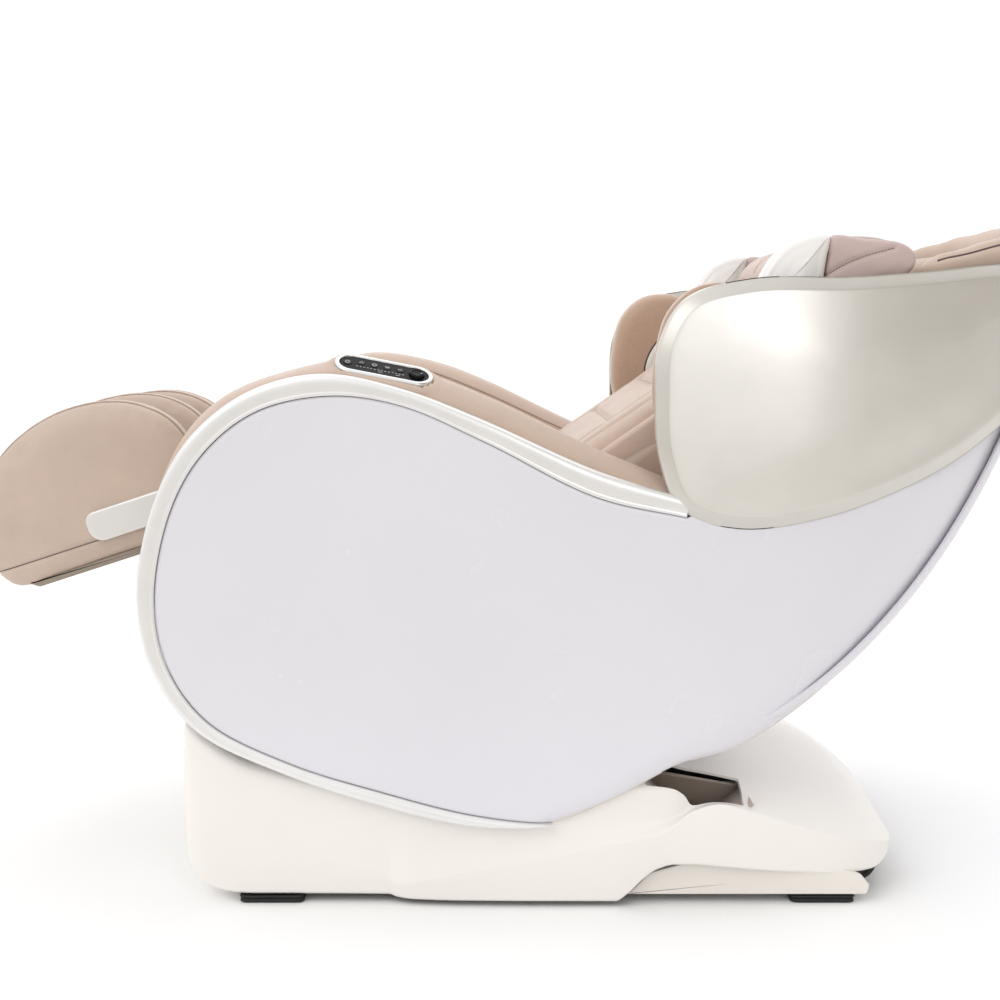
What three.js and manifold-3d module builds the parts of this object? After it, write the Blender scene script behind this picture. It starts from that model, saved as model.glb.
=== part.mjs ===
// A full-body massage chair in its zero-gravity pose: a moulded base, a one-piece seat shell that
// tilts on it, shoulder wings, a sliding massage carriage behind the back cushion and a calf rest.
// Millimetres, +Z up. The head end points to +X, the calf rest to -X, and -Y is the sitter's left.
import * as THREE from "three";
import { mergeVertices } from "three/addons/utils/BufferGeometryUtils.js";
import Module from "manifold-3d";

const wasm = await Module();
wasm.setup();

// ---------------------------------------------------------------- driving dimensions
const FOOT_HEIGHT = 12; // the base cover's underside stands this far above the floor
const CENTRE_X = 41.7; // middle of the chair's length, measured from the drafting origin
const PANEL_Y = 375; // outer face of the side panels at the seat
const PANEL_T = 12;
const WING_Y = 388; // outer face of the shoulder wings
const BLOCK_Y = 354; // half width of the base block
const RIDGE_Y = 372; // half width of the base at its ridge
const TILT = { x: -250, z: 450 }; // pivot of the seat shell on the base
const KNEE = { x: -400, z: 610 }; // pivot of the calf rest on the seat shell
const KNEE_ANGLE = 18; // the calf rest points this many degrees below level
const DRUM_R = 245; // round front of the seat shell, about the tilt pivot
const BACK = { x: 20, z: 562, angle: 36.6 }; // seat and back meet here, and the back's slope
const SEAT_HALF = 236; // half width of the seat cushion
const ARM_INNER = 252; // inner face of the armrests
const KEY_TRAVEL = 1.2;

const rad = THREE.MathUtils.degToRad;
const smooth = THREE.MathUtils.smoothstep;

// ---------------------------------------------------------------- colours and finishes
const material = (color, roughness, metalness = 0) =>
  new THREE.MeshStandardMaterial({ color, roughness, metalness });
const LOOK = {
  lilac: material("#e4e2ea", 0.25),
  trim: material("#cfccc2", 0.3, 0.4),
  pearl: material("#e2e1dc", 0.22, 0.2),
  white: material("#f6f4f3", 0.3),
  cream: material("#ece6e0", 0.35),
  beige: material("#cdb8aa", 0.55),
  mauve: material("#c8b4ae", 0.55),
  silver: material("#dddcda", 0.3, 0.3),
  black: material("#1f1a1f", 0.15),
  rubber: material("#17181a", 0.85),
  steel: material("#8b8f94", 0.4, 0.8),
  dark: material("#2c2a2b", 0.6),
  brass: material("#b79a5b", 0.35, 0.7),
};

// ---------------------------------------------------------------- solids and geometries
function solidOf(geometry) {
  const bare = geometry.index ? geometry.toNonIndexed() : geometry.clone();
  bare.deleteAttribute("normal");
  bare.deleteAttribute("uv");
  const merged = mergeVertices(bare, 1e-3);
  return new wasm.Manifold(
    new wasm.Mesh({
      numProp: 3,
      vertProperties: merged.attributes.position.array,
      triVerts: new Uint32Array(merged.index.array),
    }),
  );
}

function geometryOf(solid) {
  const mesh = solid.getMesh();
  const points = new Float32Array(mesh.numVert * 3);
  for (let i = 0; i < mesh.numVert; i++)
    points.set(mesh.vertProperties.subarray(i * mesh.numProp, i * mesh.numProp + 3), i * 3);
  return new THREE.BufferGeometry()
    .setAttribute("position", new THREE.BufferAttribute(points, 3))
    .setIndex(new THREE.BufferAttribute(mesh.triVerts, 1));
}

const join = (...geometries) =>
  geometryOf(geometries.map(solidOf).reduce((whole, part) => whole.add(part)));
const cut = (geometry, ...tools) =>
  geometryOf(tools.map(solidOf).reduce((whole, tool) => whole.subtract(tool), solidOf(geometry)));

// Turns a closed indexed surface so that its faces point out.
function facingOut(geometry) {
  const p = geometry.attributes.position;
  const index = geometry.index.array;
  const [a, b, c] = [new THREE.Vector3(), new THREE.Vector3(), new THREE.Vector3()];
  let volume = 0;
  for (let i = 0; i < index.length; i += 3) {
    a.fromBufferAttribute(p, index[i]);
    b.fromBufferAttribute(p, index[i + 1]);
    c.fromBufferAttribute(p, index[i + 2]);
    volume += a.dot(b.cross(c));
  }
  if (volume < 0)
    for (let i = 0; i < index.length; i += 3)
      [index[i + 1], index[i + 2]] = [index[i + 2], index[i + 1]];
  return geometry;
}

function surface(points, triangles) {
  return facingOut(new THREE.BufferGeometry().setFromPoints(points).setIndex(triangles));
}

// A solid skinned over closed rings of points, all rings with the same number of points.
function loft(rings) {
  const n = rings[0].length;
  const triangles = [];
  for (let r = 0; r + 1 < rings.length; r++)
    for (let i = 0; i < n; i++) {
      const [a, b] = [r * n + i, r * n + ((i + 1) % n)];
      triangles.push(a, b, b + n, a, b + n, a + n);
    }
  for (const [ring, offset, flip] of [[rings[0], 0, true], [rings.at(-1), n * (rings.length - 1), false]]) {
    const normal = new THREE.Vector3();
    ring.forEach((p, i) => normal.add(p.clone().cross(ring[(i + 1) % n])));
    const turn = new THREE.Quaternion().setFromUnitVectors(normal.normalize(), new THREE.Vector3(0, 0, 1));
    const flat = ring.map((p) => {
      const q = p.clone().applyQuaternion(turn);
      return new THREE.Vector2(q.x, q.y);
    });
    for (const [a, b, c] of THREE.ShapeUtils.triangulateShape(flat, []))
      triangles.push(...(flip ? [a, c, b] : [a, b, c]).map((i) => i + offset));
  }
  return surface(rings.flat(), triangles);
}

// A closed shell between an outer and an inner grid of points.
function shell(outer, inner) {
  const [rows, cols] = [outer.length, outer[0].length];
  const triangles = [];
  const quad = (a, b, c, d) => triangles.push(a, b, c, a, c, d);
  const at = (layer, r, c) => (layer * rows + r) * cols + c;
  for (let r = 0; r + 1 < rows; r++)
    for (let c = 0; c + 1 < cols; c++) {
      quad(at(0, r, c), at(0, r, c + 1), at(0, r + 1, c + 1), at(0, r + 1, c));
      quad(at(1, r, c), at(1, r + 1, c), at(1, r + 1, c + 1), at(1, r, c + 1));
    }
  for (let c = 0; c + 1 < cols; c++) {
    quad(at(0, 0, c), at(1, 0, c), at(1, 0, c + 1), at(0, 0, c + 1));
    quad(at(0, rows - 1, c + 1), at(1, rows - 1, c + 1), at(1, rows - 1, c), at(0, rows - 1, c));
  }
  for (let r = 0; r + 1 < rows; r++) {
    quad(at(0, r + 1, 0), at(1, r + 1, 0), at(1, r, 0), at(0, r, 0));
    quad(at(0, r, cols - 1), at(1, r, cols - 1), at(1, r + 1, cols - 1), at(0, r + 1, cols - 1));
  }
  return surface([...outer.flat(), ...inner.flat()], triangles);
}

const vec = (x, y, z) => new THREE.Vector3(x, y, z);
const spline = (points, count) =>
  new THREE.SplineCurve(points.map(([x, z]) => new THREE.Vector2(x, z))).getSpacedPoints(count - 1);

// A side outline in X and Z, as a list of points and of splines { through, count }.
function outline(...pieces) {
  const points = pieces.flatMap((piece) =>
    Array.isArray(piece) ? [new THREE.Vector2(...piece)] : spline(piece.through, piece.count));
  return new THREE.Shape(points.filter((p, i) => p.distanceTo(points.at(i - 1)) > 0.5));
}

// An outline in X and Z made into a slab from yFrom to yTo, with its edges rounded by bevel.
function slab(shape, yFrom, yTo, bevel = 0, segments = 2) {
  const geometry = new THREE.ExtrudeGeometry(shape, {
    depth: yTo - yFrom - 2 * bevel,
    bevelEnabled: bevel > 0,
    bevelThickness: bevel,
    bevelSize: bevel,
    bevelOffset: -bevel,
    bevelSegments: segments,
  });
  return geometry.rotateX(Math.PI / 2).translate(0, yTo - bevel, 0);
}

const box = (x0, x1, y0, y1, z0, z1) =>
  new THREE.BoxGeometry(x1 - x0, y1 - y0, z1 - z0).translate((x0 + x1) / 2, (y0 + y1) / 2, (z0 + z1) / 2);

// A round bar across the chair at (x, z).
const crossBar = (x, z, radius, yFrom, yTo, sides = 16) =>
  new THREE.CylinderGeometry(radius, radius, yTo - yFrom, sides).translate(x, (yFrom + yTo) / 2, z);

// A straight bar of square section between two points of the side view.
function link(from, to, size, yFrom, yTo) {
  const [dx, dz] = [to[0] - from[0], to[1] - from[1]];
  return new THREE.BoxGeometry(Math.hypot(dx, dz), yTo - yFrom, size)
    .rotateY(-Math.atan2(dz, dx))
    .translate((from[0] + to[0]) / 2, (yFrom + yTo) / 2, (from[1] + to[1]) / 2);
}

const mirrored = (geometry) => {
  const copy = (geometry.index ? geometry : mergeVertices(geometry)).clone().scale(1, -1, 1);
  return facingOut(copy);
};

function mesh(name, geometry, look) {
  const made = new THREE.Mesh(geometry, look);
  made.name = name;
  return made;
}

// The same piece on the sitter's left (-Y) and right (+Y).
const pair = (name, geometry, look) => [
  mesh(`${name}_left`, geometry, look),
  mesh(`${name}_right`, mirrored(geometry), look),
];

// ---------------------------------------------------------------- base
// Half section of the base cover at each station along X, set in from its surface by `inset`.
function baseStations(inset) {
  const stations = [
    // x, ridge half width, ridge z, shoulder half width, shoulder z, top half width, top z, centre z,
    // and the height of the lower edge
    [-451, 336, 60, 340, 200, 336, 262, 262, 0],
    [-440, 346, 55, 352, 200, 348, 276, 276, 0],
    [-410, 352, 50, BLOCK_Y, 150, BLOCK_Y, 240, 240, 0],
    [-350, 352, 45, BLOCK_Y, 130, BLOCK_Y, 205, 205, 0],
    [-250, 352, 38, BLOCK_Y, 110, BLOCK_Y, 188, 188, 0],
    [-140, 354, 30, BLOCK_Y, 90, BLOCK_Y, 186, 186, 0],
    [-110, 364, 26, 356, 80, BLOCK_Y, 186, 186, 0],
    [-38, 370, 43, 357, 95, BLOCK_Y, 186, 186, 0],
    [90, RIDGE_Y, 66, 358, 116, BLOCK_Y, 184, 184, 0],
    [200, RIDGE_Y, 90, 358, 128, BLOCK_Y, 180, 182, 0],
    [240, RIDGE_Y, 98, 358, 124, BLOCK_Y, 172, 181, 30],
    [284, RIDGE_Y, 112, 356, 118, 340, 122, 178, 50],
    [310, RIDGE_Y, 140, 345, 122, 300, 110, 176, 50],
    [346, RIDGE_Y, 148, 345, 130, 290, 112, 170, 48],
    [400, 370, 134, 340, 134, 290, 136, 163, 42],
    [470, 363, 112, 336, 116, 290, 122, 150, 36],
    [540, 350, 92, 322, 96, 280, 104, 132, 30],
    [590, 330, 78, 298, 80, 240, 90, 114, 29],
    [622, 290, 64, 258, 68, 190, 76, 96, 36],
    [640, 214, 54, 180, 58, 110, 66, 76, 40],
  ];
  return stations.map(([x, yr, zr, ys, zs, yt, zt, zc, low], i) => {
    const last = i === stations.length - 1;
    const at = i === 0 ? x + inset : last ? x - inset : x;
    const floor = inset > 0 ? low - 5 : low;
    const half = [
      [yr - 10 - inset, floor],
      [yr - inset, low + 8],
      [yr - inset, zr - inset / 2],
      [ys - inset, zs - inset],
      [yt - inset, zt - inset],
      [yt * 0.6, (zt + zc) / 2 - inset + 2],
    ];
    return [
      ...half.map(([y, z]) => vec(at, -y, z)),
      vec(at, 0, zc - inset),
      ...half.toReversed().map(([y, z]) => vec(at, y, z)),
    ];
  });
}

const WHEEL = { x: 580, z: 24, r: 32, y: 262, width: 26 };

function baseCover() {
  const slots = [-1, 1].map((side) => box(-310, -190, side * 312 - 10, side * 312 + 10, 60, 260));
  const wells = [-1, 1].map((side) =>
    crossBar(WHEEL.x, WHEEL.z, WHEEL.r + 6, side * WHEEL.y - 20, side * WHEEL.y + 20));
  return cut(loft(baseStations(0)), loft(baseStations(6)), ...slots, ...wells);
}

// Recessed skirt that shows under the rear of the cover.
function baseSkirt() {
  const side = outline([205, 2], [222, 12], [250, 34], [300, 42], [400, 36], [540, 24], [560, 14], [552, 2]);
  return slab(side, -352, -346);
}

// Upright plate that carries one end of the seat shell's pivot.
function pivotPlate(side) {
  const plate = new THREE.Shape();
  plate.moveTo(-320, 14);
  plate.lineTo(-180, 14);
  plate.lineTo(-216, TILT.z);
  plate.absarc(TILT.x, TILT.z, 34, 0, Math.PI, false);
  return slab(plate, side * 312 - 5, side * 312 + 5);
}

function baseFrame() {
  const sides = [-1, 1];
  const rails = sides.map((side) => box(-400, 548, side * 286 - 15, side * 286 + 15, 12, 42));
  const ties = [-385, -60, 200, 533].map((x) => box(x - 15, x + 15, -280, 280, 14, 40));
  const gussets = sides.map((side) => box(-310, -190, side * 304 - 6, side * 304 + 6, 16, 40));
  const axle = crossBar(WHEEL.x, WHEEL.z, 6, -WHEEL.y - 18.5, WHEEL.y + 18.5, 16);
  const axleArms = sides.map((side) => box(546, 586, side * 236 - 5, side * 236 + 5, 14, 34));
  const eyes = sides.map((side) => crossBar(TILT.x, TILT.z, 13, side * 312 - 20, side * 312 + 20));
  return cut(join(...rails, ...ties, ...sides.map(pivotPlate), ...gussets, axle, ...axleArms), ...eyes);
}

function foot(x) {
  const pad = new THREE.Shape();
  pad.moveTo(x - 48, -FOOT_HEIGHT);
  pad.lineTo(x + 48, -FOOT_HEIGHT);
  pad.lineTo(x + 50, -0.4);
  pad.lineTo(x - 50, -0.4);
  return slab(pad, -349, -289);
}

function transportWheel() {
  const { r, width } = WHEEL;
  const profile = [[6.1, 0], [18, 0], [r - 4, 0], [r, 4], [r, width - 4], [r - 4, width], [18, width], [6.1, width], [6.1, 0]];
  return new THREE.LatheGeometry(profile.map(([x, y]) => new THREE.Vector2(x, y)), 24)
    .translate(WHEEL.x, -WHEEL.y - width / 2, WHEEL.z);
}

// ---------------------------------------------------------------- side outlines of the seat shell
const TRIM_OUTER = [
  [294, 605], [161, 646], [-7, 721], [-120, 764], [-235, 785], [-340, 759], [-424, 694], [-478, 600],
  [-507, 460], [-488, 352], [-425, 262], [-300, 198], [-155, 148], [-30, 118], [60, 114], [100, 120],
];
const TRIM_INNER = [
  [290, 578], [161, 607], [0, 687], [-120, 739], [-222, 753], [-326, 731], [-402, 673], [-452, 590],
  [-480, 460], [-465, 360], [-408, 276], [-290, 213], [-150, 168], [-30, 136], [50, 124], [96, 121],
];
const PANEL_REAR = [[100, 122], [188, 157], [286, 207], [369, 230], [484, 303], [611, 418], [716, 553], [806, 726], [846, 866]];
const PANEL_TOP = [[299, 578], [334, 700], [372, 800], [440, 856], [600, 880], [720, 893], [840, 900]];

// Outer face of the side panels: level at the seat, drawn in towards the head end.
const panelY = (x) => -(PANEL_Y - 105 * smooth(x, 420, 1150) * 1.6);
const wingY = (x) => -(WING_Y - 105 * smooth(x, 420, 1150) * 1.6);

function sidePanel() {
  const upper = [...spline(TRIM_INNER.slice(0, 8).toReversed(), 16), ...spline(PANEL_TOP, 10)];
  const lower = [...spline(TRIM_INNER.slice(8), 16), ...spline(PANEL_REAR, 11).slice(1)];
  const grid = (set) =>
    upper.map((top, i) =>
      [0, 0.33, 0.67, 1].map((t) => {
        const p = lower[i].clone().lerp(top, t);
        const edge = t === 0 || t === 1 || i === 0 ? 3 : 0;
        return vec(p.x, panelY(p.x) + (set ? PANEL_T : edge), p.y);
      }));
  return shell(grid(false), grid(true));
}

function sideTrim() {
  const count = 36;
  const [outer, inner] = [spline(TRIM_OUTER, count), spline(TRIM_INNER, count)];
  const rings = outer.map((o, i) => {
    const n = inner[i].clone().lerp(o, 2.2 / Math.max(o.distanceTo(inner[i]), 4));
    return [
      vec(n.x, -PANEL_Y - 2, n.y),
      vec(o.x, -PANEL_Y + 6, o.y),
      vec(o.x, -PANEL_Y + PANEL_T, o.y),
      vec(n.x, -PANEL_Y + PANEL_T, n.y),
    ];
  });
  return loft(rings);
}

function armrest() {
  const crown = [
    [318, 608], [250, 634], [160, 676], [40, 734], [-60, 776], [-182, 798], [-270, 787], [-350, 758],
    [-428, 706], [-484, 604], [-506, 500],
  ];
  const arm = outline(
    { through: crown, count: 26 },
    [-502, 452], [-470, 450], [-400, 530], [-300, 560], [20, 500], [150, 520], [318, 566],
  );
  return cut(slab(arm, -PANEL_Y + PANEL_T + 0.6, -ARM_INNER, 14, 2), inStrip(plate(stadium(141, 47), -6.5, 40)));
}

// Front and underside of the seat shell, between the side panels. The front leans back to make room
// for the calf rest, and the lower part is round about the tilt pivot.
function bellyCover() {
  const path = [[-372, 500], [-412, 430], [-456, 358]];
  for (let a = 210; a <= 262; a += 7.43)
    path.push([TILT.x + DRUM_R * Math.cos(rad(a)), TILT.z + DRUM_R * Math.sin(rad(a))]);
  path.push([-160, 206], [0, 206], [120, 212], [220, 226], [306, 250]);
  const half = PANEL_Y - PANEL_T - 1.5;
  const grid = (inset) =>
    path.map(([x, z], i) => {
      const [px, pz] = path[Math.max(i - 1, 0)];
      const [nx, nz] = path[Math.min(i + 1, path.length - 1)];
      const length = Math.hypot(nx - px, nz - pz);
      const [ox, oz] = [(-(nz - pz) / length) * inset, ((nx - px) / length) * inset];
      return [-half, 0, half].map((y) => vec(x + ox, y, z + oz));
    });
  const slots = [-1, 1].map((side) => box(-412, -172, side * 312 - 11, side * 312 + 11, 190, 330));
  return cut(shell(grid(0), grid(6)), ...slots);
}

// Rear shell from the underside up to the head end.
const BACK_COVER = [[322, 240], [380, 248], [488, 307], [617, 422], [723, 558], [814, 732], [852, 866], [860, 902]];
const backHalf = (x) => -panelY(x) - PANEL_T - 1.5;

function backCover() {
  const path = spline(BACK_COVER, 16);
  const grid = (inset) =>
    path.map((p, i) => {
      const before = path[Math.max(i - 1, 0)];
      const after = path[Math.min(i + 1, path.length - 1)];
      const out = new THREE.Vector2(after.y - before.y, before.x - after.x).normalize();
      return [-1, -0.85, -0.5, 0, 0.5, 0.85, 1].map((t) => {
        const bulge = 4 - 12 * t ** 4 - inset;
        return vec(p.x + out.x * bulge, t * backHalf(p.x), p.y + out.y * bulge);
      });
    });
  return shell(grid(0), grid(7));
}

// ---------------------------------------------------------------- frames inside the seat shell
function seatFrame() {
  const sides = [-1, 1];
  const cheek = new THREE.Shape();
  cheek.moveTo(-216, TILT.z);
  cheek.lineTo(-60, 438);
  cheek.lineTo(262, 424);
  cheek.lineTo(262, 468);
  cheek.lineTo(20, 462);
  cheek.lineTo(-330, 505);
  cheek.lineTo(-284, TILT.z);
  cheek.absarc(TILT.x, TILT.z, 34, Math.PI, 2 * Math.PI, false);
  const cheeks = sides.map((side) => slab(cheek, side * 293 - 5, side * 293 + 5));
  const pins = sides.map((side) => crossBar(TILT.x, TILT.z, 12.2, side * 306 - 16, side * 306 + 16));
  const ties = [[-318, 486], [-170, 468], [235, 440]].map(([x, z]) => crossBar(x, z, 12, -290, 290, 12));
  const knee = new THREE.Shape();
  knee.absarc(KNEE.x, KNEE.z, 24, rad(40), rad(230), false);
  knee.lineTo(-334, 474);
  knee.lineTo(-302, 486);
  const knees = sides.map((side) => slab(knee, side * 244 - 4, side * 244 + 4));
  const eyes = sides.map((side) => crossBar(KNEE.x, KNEE.z, 12.8, side * 244 - 12, side * 244 + 12));
  return cut(join(...cheeks, ...pins, ...ties, ...knees), ...eyes);
}

// Everything in the back group is drafted along the back: X runs up the back and Z stands off it.
const backGroup = () => {
  const group = new THREE.Group();
  group.position.set(BACK.x, 0, BACK.z);
  group.rotation.y = -rad(BACK.angle);
  return group;
};
const RAIL_Z = -168;
const RAIL_END = 640;

function backFrame() {
  const channels = [-1, 1].map((side) => {
    const web = box(40, RAIL_END, side * 205 - 3, side * 205 + 3, RAIL_Z - 22, RAIL_Z + 22);
    const [inner, outer] = side > 0 ? [182, 206] : [-206, -182];
    const lips = [-1, 1].map((end) => box(40, RAIL_END, inner, outer, RAIL_Z + end * 20 - 2, RAIL_Z + end * 20 + 2));
    return join(web, ...lips);
  });
  const ties = [52, RAIL_END - 12].map((x) => box(x - 10, x + 10, -204, 204, RAIL_Z - 44, RAIL_Z - 21));
  return join(...channels, ...ties);
}

function carriageFrame() {
  const plates = [-1, 1].map((side) => box(270, 430, side * 160 - 3, side * 160 + 3, RAIL_Z - 34, RAIL_Z + 36));
  const floor = box(270, 430, -160, 160, RAIL_Z - 38, RAIL_Z - 32);
  const rollers = [-1, 1].flatMap((side) => [290, 410].map((x) => {
    const [from, to] = side > 0 ? [160, 198] : [-198, -160];
    return crossBar(x, RAIL_Z, 15, from, to, 16);
  }));
  const bores = [-1, 1].map((side) => crossBar(350, RAIL_Z + 10, 10, side * 160 - 20, side * 160 + 20, 16));
  return cut(join(...plates, floor, ...rollers), ...bores);
}

const KNEAD = { x: 350, z: RAIL_Z + 10 };

function kneadingShaft() {
  const shaft = crossBar(KNEAD.x, KNEAD.z, 9.8, -156, 156, 16);
  const hubs = [-1, 1].map((side) => crossBar(KNEAD.x, KNEAD.z, 20, side * 92 - 7, side * 92 + 7, 20));
  const gear = crossBar(KNEAD.x, KNEAD.z, 26, -24, -8, 24);
  const tips = [-1, 1].map((side) => crossBar(KNEAD.x, KNEAD.z, 9.8, side > 0 ? 150 : -168, side > 0 ? 168 : -150, 16));
  return join(shaft, ...hubs, gear, ...tips);
}

// A swinging arm on the kneading shaft that carries an upper and a lower massage wheel.
function massageArm() {
  const side = -92;
  const hub = crossBar(KNEAD.x, KNEAD.z, 34, side - 6, side + 6, 24);
  const arms = [-1, 1].map((end) => link([KNEAD.x, KNEAD.z], [KNEAD.x + end * 74, KNEAD.z + 40], 24, side - 5, side + 5));
  const axles = [-1, 1].map((end) => crossBar(KNEAD.x + end * 74, KNEAD.z + 40, 6, side - 36, side + 5, 12));
  return cut(join(hub, ...arms, ...axles), crossBar(KNEAD.x, KNEAD.z, 20.4, side - 30, side + 30, 20));
}

function massageWheel(end) {
  const profile = [[6.2, 0], [20, 0], [28, 6], [30, 12], [28, 18], [20, 24], [6.2, 24], [6.2, 0]];
  return new THREE.LatheGeometry(profile.map(([x, y]) => new THREE.Vector2(x, y)), 20)
    .translate(KNEAD.x + end * 74, -92 - 33, KNEAD.z + 40);
}

// ---------------------------------------------------------------- cushions
function seatCushion() {
  const top = [[-336, 566], [-352, 602], [-386, 640], [-408, 658], [-398, 676], [-300, 650], [-120, 604], [20, 574]];
  const side = outline({ through: top, count: 20 }, [36, 524], [30, 492], [-120, 506], [-330, 552]);
  return slab(side, -SEAT_HALF, SEAT_HALF, 12, 2);
}

// The back cushion narrows towards the head end.
const backWidth = (x) => 250 - 92 * smooth(x, 560, 790);

function backCushion() {
  const top = [[44, 588], [144, 662], [257, 742], [400, 846], [500, 905], [580, 935], [680, 955], [760, 964], [796, 958]];
  const under = [[780, 888], [690, 880], [600, 868], [540, 846], [460, 800], [300, 682], [96, 532]];
  const side = outline({ through: top, count: 20 }, [802, 920], { through: under, count: 12 }, [60, 538]);
  const cushion = mergeVertices(slab(side, -1, 1, 0.06, 2));
  const p = cushion.attributes.position;
  for (let i = 0; i < p.count; i++) p.setY(i, p.getY(i) * backWidth(p.getX(i)));
  return facingOut(cushion);
}

function headPillow() {
  const top = [[410, 884], [412, 930], [452, 968], [513, 986], [580, 989], [630, 982], [650, 966]];
  const under = [[640, 959], [580, 947], [500, 918], [430, 876]];
  const side = outline({ through: top, count: 14 }, { through: under, count: 6 });
  return slab(side, -232, 232, 5, 2);
}

// Roll that runs round the head end from one wing to the other.
function headBolster() {
  const rows = [];
  for (let i = 0; i <= 16; i++) {
    const a = Math.PI * (i / 16);
    const [reach, half] = [858 - 640, 278];
    const x = 640 + reach * Math.sin(a) ** 0.8;
    const y = -half * Math.sign(Math.cos(a)) * Math.abs(Math.cos(a)) ** 0.6;
    const rise = 44 * Math.sin(a);
    const along = vec(reach * Math.cos(a), half * Math.sin(a), 0).normalize();
    const out = vec(along.y, -along.x, 0);
    const ring = [];
    for (let k = 0; k < 10; k++) {
      const t = (k / 10) * 2 * Math.PI;
      const across = 24 * Math.cos(t);
      ring.push(vec(x + out.x * across, y + out.y * across, 932 + rise + (22 + rise * 0.4) * Math.sin(t)));
    }
    rows.push(ring);
  }
  return loft(rows);
}

// ---------------------------------------------------------------- shoulder wings and head pods
const WING_TOP = [[242, 760], [248, 832], [284, 892], [374, 919], [520, 922], [659, 933], [760, 944], [830, 940], [856, 900]];
const WING_LOW = [[242, 752], [250, 660], [284, 588], [367, 562], [482, 576], [596, 612], [708, 666], [806, 742], [856, 850]];

function wingGrid(depth, scale) {
  const [top, low] = [spline(WING_TOP, 20), spline(WING_LOW, 20)];
  return top.map((p, i) =>
    [0, 0.2, 0.5, 0.8, 1].map((t) => {
      const q = low[i].clone().lerp(p, t);
      const mid = new THREE.Vector2(550, 760);
      q.lerp(mid, 1 - scale);
      const edge = t === 0 || t === 1 || i === 0 || i === 19 ? 8 : 0;
      return vec(q.x, wingY(q.x) + depth + (depth ? 0 : edge), q.y);
    }));
}

const wingShell = () => shell(wingGrid(0, 1), wingGrid(11, 0.985));

// Lining inside a wing, thinner towards the head end.
function wingPad() {
  const top = spline([[250, 750], [254, 836], [292, 892], [344, 906], [384, 878], [520, 878], [660, 886], [770, 896]], 16);
  const low = spline([[250, 742], [257, 674], [300, 628], [380, 652], [520, 765], [640, 850], [700, 872], [770, 890]], 16);
  const grid = (inner) =>
    top.map((p, i) =>
      [0, 0.25, 0.75, 1].map((t) => {
        const q = low[i].clone().lerp(p, t);
        const edge = t === 0 || t === 1 || i === 0 || i === 15;
        const depth = 48 - 26 * smooth(q.x, 420, 770) - (edge ? 12 : 0);
        return vec(q.x, panelY(q.x) + PANEL_T + 2 + (inner ? depth : 0), q.y);
      }));
  return shell(grid(false), grid(true));
}

function podCap() {
  const side = outline(
    { through: [[392, 884], [402, 922], [430, 962], [472, 978], [494, 976]], count: 10 },
    [488, 918], [486, 884],
  );
  return slab(side, -340, -306, 8, 2);
}

function podPad() {
  const side = outline(
    [486.5, 884], [488.6, 918],
    { through: [[494.6, 975], [542, 969], [600, 964], [618, 950], [619, 938], [604, 924], [560, 900]], count: 12 },
    [540, 890],
  );
  return slab(side, -340, -306, 8, 2);
}

// ---------------------------------------------------------------- arm controls
// Local frame of the control strip: X along the arm's top, Z out of it, leaning outwards.
const PANEL_AT = { x: -147, y: -333, z: 787, slope: -11, lean: 28 };
const KEYS = [-34, -15, 4, 23];
const KEY_FLOOR = KEY_TRAVEL - 0.7;
const inStrip = (geometry) =>
  geometry.rotateX(rad(PANEL_AT.lean)).rotateY(-rad(PANEL_AT.slope)).translate(PANEL_AT.x, PANEL_AT.y, PANEL_AT.z);

function stadium(length, width) {
  const shape = new THREE.Shape();
  const [half, r] = [length / 2 - width / 2, width / 2];
  shape.absarc(half, 0, r, -Math.PI / 2, Math.PI / 2, false);
  shape.absarc(-half, 0, r, Math.PI / 2, (3 * Math.PI) / 2, false);
  return shape;
}

const plate = (shape, zFrom, zTo) =>
  new THREE.ExtrudeGeometry(shape, { depth: zTo - zFrom, bevelEnabled: false, curveSegments: 8 }).translate(0, 0, zFrom);
const disc = (x, y, r, zFrom, zTo, sides = 16) =>
  new THREE.CylinderGeometry(r, r, zTo - zFrom, sides).rotateX(Math.PI / 2).translate(x, y, (zFrom + zTo) / 2);

function controlStrip() {
  const group = new THREE.Group();
  group.position.set(PANEL_AT.x, PANEL_AT.y, PANEL_AT.z);
  group.rotation.set(rad(PANEL_AT.lean), -rad(PANEL_AT.slope), 0, "YXZ");
  const bezel = cut(plate(stadium(140, 46), -6, 5), plate(stadium(130, 36), -3, 8));
  const holes = [disc(-54, 0, 7, -1, 9), disc(48, 0, 12, -1, 9), ...KEYS.map((x) => disc(x, 5, 6, -1, 9))];
  const face = cut(plate(stadium(129, 35), -2.6, 4), ...holes);
  group.add(
    mesh("control_bezel", bezel, LOOK.silver),
    mesh("control_face", face, LOOK.black),
    mesh("power_key", disc(-54, 0, 6.4, KEY_FLOOR, 5), LOOK.dark),
    ...KEYS.map((x, i) => mesh(`mode_key_${i + 1}`, disc(x, 5, 5.5, KEY_FLOOR, 4.8), LOOK.dark)),
    mesh("jog_knob", disc(48, 0, 11, -0.6, 9, 20), LOOK.black),
  );
  return group;
}

// ---------------------------------------------------------------- calf rest
// Local frame at the knee pivot: X towards the sitter's knee, Z up off the calf rest.
const CALF = { toe: -413, heel: -24, floor: 46, top: 190, low: -52, half: 206 };

function calfOutline(inset) {
  const { toe, heel, top, low } = CALF;
  return outline(
    { through: [[toe + 38, low + inset], [toe + 8, low + 40], [toe + inset, 16], [toe + 34, 100], [toe + 96, 160], [-212, top - inset], [-110, 172], [-50, 122], [heel - inset, 50]], count: 24 },
    [heel - inset, low + inset],
  );
}

function calfWall(yFrom, yTo) {
  return slab(calfOutline(0), yFrom, yTo, 14, 2);
}

function calfDivider() {
  return cut(calfWall(-30, 30), box(CALF.toe - 20, CALF.heel + 20, -60, 60, CALF.low - 20, CALF.floor));
}

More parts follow.
